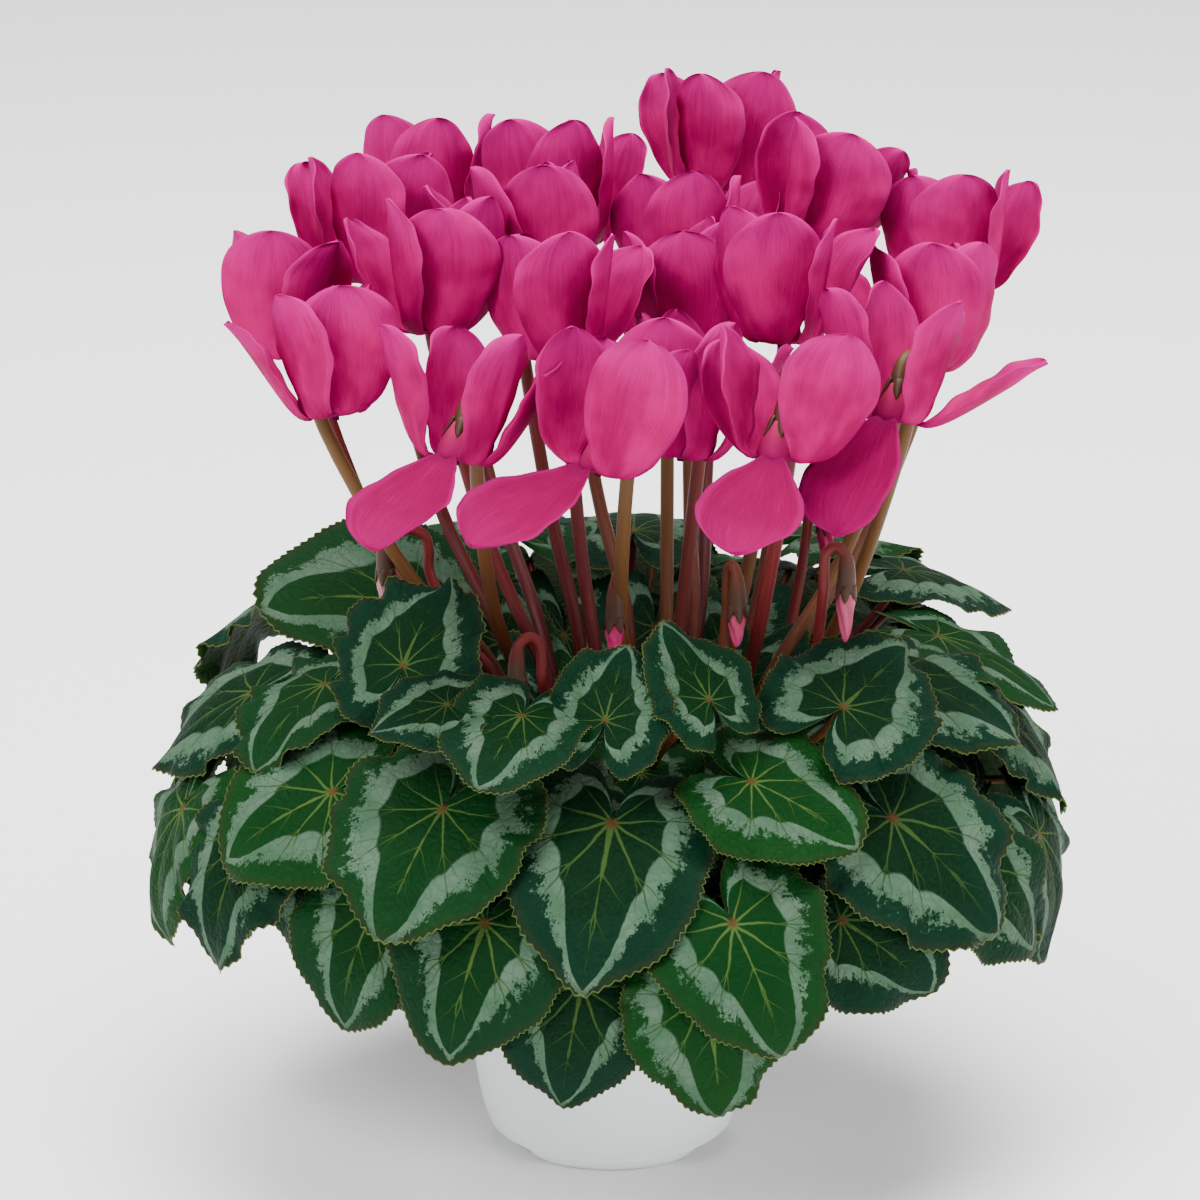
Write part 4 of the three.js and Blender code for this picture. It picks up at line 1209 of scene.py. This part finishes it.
BUD_ROWS = 26
BUD_SIDES = 30
BUD_RADIUS = 2.75
BUD_TIP_RADIUS = 0.12
BUD_RIDGES = 5
BUD_RIDGE_HEIGHT = 0.14


def furled_bud(shell, x, y, z, length, cream):
    verts, form, faces = [], [], []
    for i in range(BUD_ROWS + 1):
        t = i / BUD_ROWS
        belly = 0.86 + 0.14 * sin(pi * min(t / 0.5, 1))
        r = BUD_RADIUS * belly * (1 - t**2.2) ** 0.62 + BUD_TIP_RADIUS
        for k in range(BUD_SIDES):
            a = 2 * pi * k / BUD_SIDES
            ridge = 1 + BUD_RIDGE_HEIGHT * cos(BUD_RIDGES * a - 7 * t) * min(1, 3 * t)
            verts.append((x + r * ridge * cos(a), y + r * ridge * sin(a), z - t * length))
            form.append((sin(a - 1.4 * t), t, cream))
    for i in range(BUD_ROWS):
        faces += round_band(i * BUD_SIDES, (i + 1) * BUD_SIDES, BUD_SIDES, False)
    faces.append(tuple(range(BUD_SIDES)))
    faces.append(tuple(range((BUD_ROWS + 1) * BUD_SIDES - 1, BUD_ROWS * BUD_SIDES - 1, -1)))
    shell.add(verts, faces, form)


for n, (x, y, z, _, _, _, _, length, cream) in enumerate(BUDS, 1):
    shell = Shell()
    furled_bud(shell, x, y, z, length, cream)
    shell.make(f"furled_bud_{n:02d}", BUD_PAINT, [f"bud_{n:02d}"])


# Tuber

WAVES = ((1, 0.3, 0.7), (-0.6, 1, 0.4), (0.4, -0.8, 1), (1.3, 1.1, -0.9))
TUBER_SIDES = 48
TUBER_ROWS = 24
TUBER_POLE = 88
TUBER_WOBBLE = 0.02


def crossed_waves(x, y, z, scale):
    """A repeatable roughness from a few crossed waves."""
    total = 0
    for k, (a, b, c) in enumerate(WAVES):
        total = total + np.sin((a * x + b * y + c * z) * scale * (1 + 0.37 * k) + 2.1 * k) / (1 + k)
    return total


def tuber():
    up = np.repeat(np.linspace(-TUBER_POLE, TUBER_POLE, TUBER_ROWS + 1), TUBER_SIDES) * DEG
    turn = np.tile(np.arange(TUBER_SIDES) * 2 * pi / TUBER_SIDES, TUBER_ROWS + 1)
    x, y, z = np.cos(up) * np.cos(turn), np.cos(up) * np.sin(turn), np.sin(up)
    wobble = 1 + TUBER_WOBBLE * crossed_waves(x, y, z, 5)
    height = TUBER_Z + TUBER_HALF_HEIGHT * z * wobble
    verts = columns(TUBER_RADIUS * x * wobble, TUBER_RADIUS * y * wobble, height)
    form = columns(np.cos(turn), np.sin(turn), height)
    shell = Shell()
    shell.add(verts, tube_faces(TUBER_ROWS + 1, TUBER_SIDES), form, (0.1, 0.37, 0.6))
    shell.make("tuber", STALK_PAINT)


tuber()


# Pot: a turned wall, raised between its three feet, with drain holes

POT_SIDES = 144
POT = [(0.6, 4.4), (33.2, 4.4), (33.0, 0.5), (33.4, 0.0), (35.6, 0.0), (36.4, 0.25), (37.9, 1.4), (39.2, 2.6)]
POT += [(40.2, 4.6), (40.3, 4.9), (40.15, 5.15), (40.9, 6.6), (42.1, 10), (43.0, 14), (43.75, 18), (44.4, 22)]
POT += [(45.5, 32), (46.6, 42.5), (48.2, 57.5), (49.8, 72.5), (51.4, 87.6), (52.2, 88.3), (53.5, 88.6)]
POT += [(54.0, 89.2), (54.0, 91.4), (53.5, 92.0), (51.3, 92.0), (50.7, 91.4), (49.6, 82), (47.2, 60)]
POT += [(44.8, 36), (43.2, 22), (41.0, 10.4), (39.0, 5.6), (0.6, 5.6)]
FOOT_GAPS = (-30, 90, 210)
FOOT_GAP_HEIGHT = 4.9
FOOT_GAP_INNER = 32
# distance from the middle of a gap between feet, and the height of the underside there
GAP_WIDTHS = [0, 10.6, 12.6, 15.0]
GAP_HEIGHTS = [FOOT_GAP_HEIGHT, FOOT_GAP_HEIGHT, FOOT_GAP_HEIGHT - 0.8, -1.0]
DRILL = [(DRAIN_RADIUS, 3.0), (DRAIN_RADIUS, 7.0)]
DRILL_SIDES = 48


def raise_between_feet(verts):
    turned_at = np.arctan2(verts[:, 1], verts[:, 0])
    wall = np.hypot(verts[:, 0], verts[:, 1])
    for middle in FOOT_GAPS:
        off = (turned_at - middle * DEG + pi) % (2 * pi) - pi
        lift = np.interp(np.abs(wall * np.sin(off)), GAP_WIDTHS, GAP_HEIGHTS)
        near = (np.cos(off) > 0.5) & (wall > FOOT_GAP_INNER) & (verts[:, 2] < FOOT_GAP_HEIGHT)
        verts[:, 2] = np.where(near, np.maximum(verts[:, 2], lift), verts[:, 2])


def cut_away(piece, drills):
    """Cuts the drills' closed shapes out of a piece."""
    mesh = drills.mesh("drills")
    tool = in_scene("drills", mesh)
    cut = piece.modifiers.new("drain_holes", "BOOLEAN")
    cut.operation = "DIFFERENCE"
    cut.solver = "EXACT"
    cut.object = tool
    whole = piece.data
    seen = piece.evaluated_get(bpy.context.evaluated_depsgraph_get())
    piece.data = bpy.data.meshes.new_from_object(seen)
    piece.modifiers.clear()
    bpy.data.objects.remove(tool)
    bpy.data.meshes.remove(mesh)
    bpy.data.meshes.remove(whole)


def pot():
    verts, faces, _ = lathe(POT, POT_SIDES)
    raise_between_feet(verts)
    shell = Shell()
    shell.add(verts, faces)
    piece = shell.make("pot_shell", POT_PAINT, ["pot"])
    drills = Shell()
    for k in range(DRAIN_HOLES):
        verts, faces, _ = lathe(DRILL, DRILL_SIDES, start=pi / DRILL_SIDES)
        at = 360 * (k + 0.5) / DRAIN_HOLES * DEG
        drills.add(verts + DRAIN_CIRCLE * np.array([cos(at), sin(at), 0]), faces)
    cut_away(piece, drills)


pot()


# Potting mix: a rough top, sides that follow the pot's inside, and loose crumbs

SOIL_RADIUS = 49.0
SOIL_RISE = 1.4
SOIL_FALL = 1.2
SOIL_RINGS = 22
SOIL_SIDES = 96
SOIL_WALL = ((48.6, SOIL_TOP - 4), (43.0, 30), (42.4, 22.2), (40.3, 10.6), (38.2, 6.1))
CRUMB = [(0.25, -0.8), (0.8, -0.4), (1.0, 0.1), (0.7, 0.6), (0.2, 0.85)]
CRUMBS = 260


def round_verts(r, z):
    """A level ring of vertices; z may be a function of x and y."""
    verts = []
    for k in range(SOIL_SIDES):
        a = 2 * pi * k / SOIL_SIDES
        x, y = r * cos(a), r * sin(a)
        verts.append((x, y, z(x, y) if callable(z) else z))
    return verts


def soil_height(x, y):
    fall = SOIL_FALL * (hypot(x, y) / SOIL_RADIUS) ** 4
    return SOIL_TOP + SOIL_RISE - fall + 0.5 * float(crossed_waves(x, y, 0.0, 0.9))


def soil_body(shell):
    verts = [(0.0, 0.0, SOIL_TOP + 1.6)]
    for i in range(1, SOIL_RINGS + 1):
        verts += round_verts(SOIL_RADIUS * i / SOIL_RINGS, soil_height)
    for r, z in SOIL_WALL:
        verts += round_verts(r, z)
    faces = [(0, 1 + k, 1 + (k + 1) % SOIL_SIDES) for k in range(SOIL_SIDES)]
    for i in range(SOIL_RINGS + len(SOIL_WALL) - 1):
        faces += round_band(1 + i * SOIL_SIDES, 1 + (i + 1) * SOIL_SIDES, SOIL_SIDES, False)
    faces.append(tuple(range(len(verts) - 1, len(verts) - 1 - SOIL_SIDES, -1)))
    shell.add(verts, faces)


def crumb(shell, draw):
    r = 24 + 23 * sqrt(next(draw))
    a = 2 * pi * next(draw)
    size = 0.5 + 1.3 * next(draw) ** 2
    z = SOIL_TOP + 1.5 - SOIL_FALL * (r / SOIL_RADIUS) ** 4 + 0.3 * size
    verts, faces, _ = lathe(CRUMB, 7)
    rough = 1 + 0.25 * np.sin(verts @ np.array([5.1, 3.3, 7.7]) + 40 * next(draw))
    shell.add(np.array([r * cos(a), r * sin(a), z]) + verts * rough[:, None] * size, faces)


def potting_mix():
    shell = Shell()
    soil_body(shell)
    crumb_draw = draws(77)
    for _ in range(CRUMBS):
        crumb(shell, crumb_draw)
    shell.make("potting_mix", SOIL_PAINT, ["soil"])


potting_mix()


# Floor, light and camera

FLOOR_HALF = 6
FLOOR_WHITE = (0.93, 0.93, 0.93)
WORLD_STRENGTH = 0.85

# Name, place, target, size and power of each lamp
LAMPS = [
    ("top", (0.1, 0.2, 2.2), (0, 0, 0), 2.4, 135),
    ("key", (-0.9, -1.3, 1.5), (0, 0, 0.2), 0.8, 38),
    ("fill", (1.4, -1.1, 0.8), (0, 0, 0.2), 1.2, 17),
]


def put_floor():
    h = FLOOR_HALF
    mesh = bpy.data.meshes.new("floor")
    mesh.from_pydata([(-h, -h, 0), (h, -h, 0), (h, h, 0), (-h, h, 0)], [], [(0, 1, 2, 3)])
    mesh.materials.append(Paint("floor").finish(FLOOR_WHITE, 0.8, 0.1))
    in_scene("floor", mesh)


def light_world():
    world = bpy.data.worlds.new("soft_white")
    bpy.context.scene.world = world
    world.use_nodes = True
    background = world.node_tree.nodes["Background"]
    background.inputs[0].default_value = (1.0, 1.0, 1.0, 1)
    background.inputs[1].default_value = WORLD_STRENGTH


def aim(thing, place, target):
    back = unit(np.array(place, float) - np.array(target, float))
    right = unit(np.cross([0, 0, 1.0], back))
    up = np.cross(back, right)
    rows = [[right[i], up[i], back[i], place[i]] for i in range(3)]
    thing.matrix_world = Matrix(rows + [[0, 0, 0, 1]])


def area_light(name, place, target, size, power):
    data = bpy.data.lights.new(name, "AREA")
    data.shape = "DISK"
    data.size = size
    data.energy = power
    aim(in_scene(name, data), place, target)


def put_camera():
    data = bpy.data.cameras.new("camera")
    data.sensor_fit = "HORIZONTAL"
    data.angle = 2 * atan(CAMERA_WIDTH / 2 / CAMERA_DISTANCE)
    camera = in_scene("camera", data)
    rise = CAMERA_ELEVATION * DEG
    back = np.array([0, -cos(rise), sin(rise)])
    aim(camera, np.array(CAMERA_TARGET) + CAMERA_DISTANCE * back, CAMERA_TARGET)
    bpy.context.scene.camera = camera


put_floor()
light_world()
for lamp in LAMPS:
    area_light(*lamp)
put_camera()
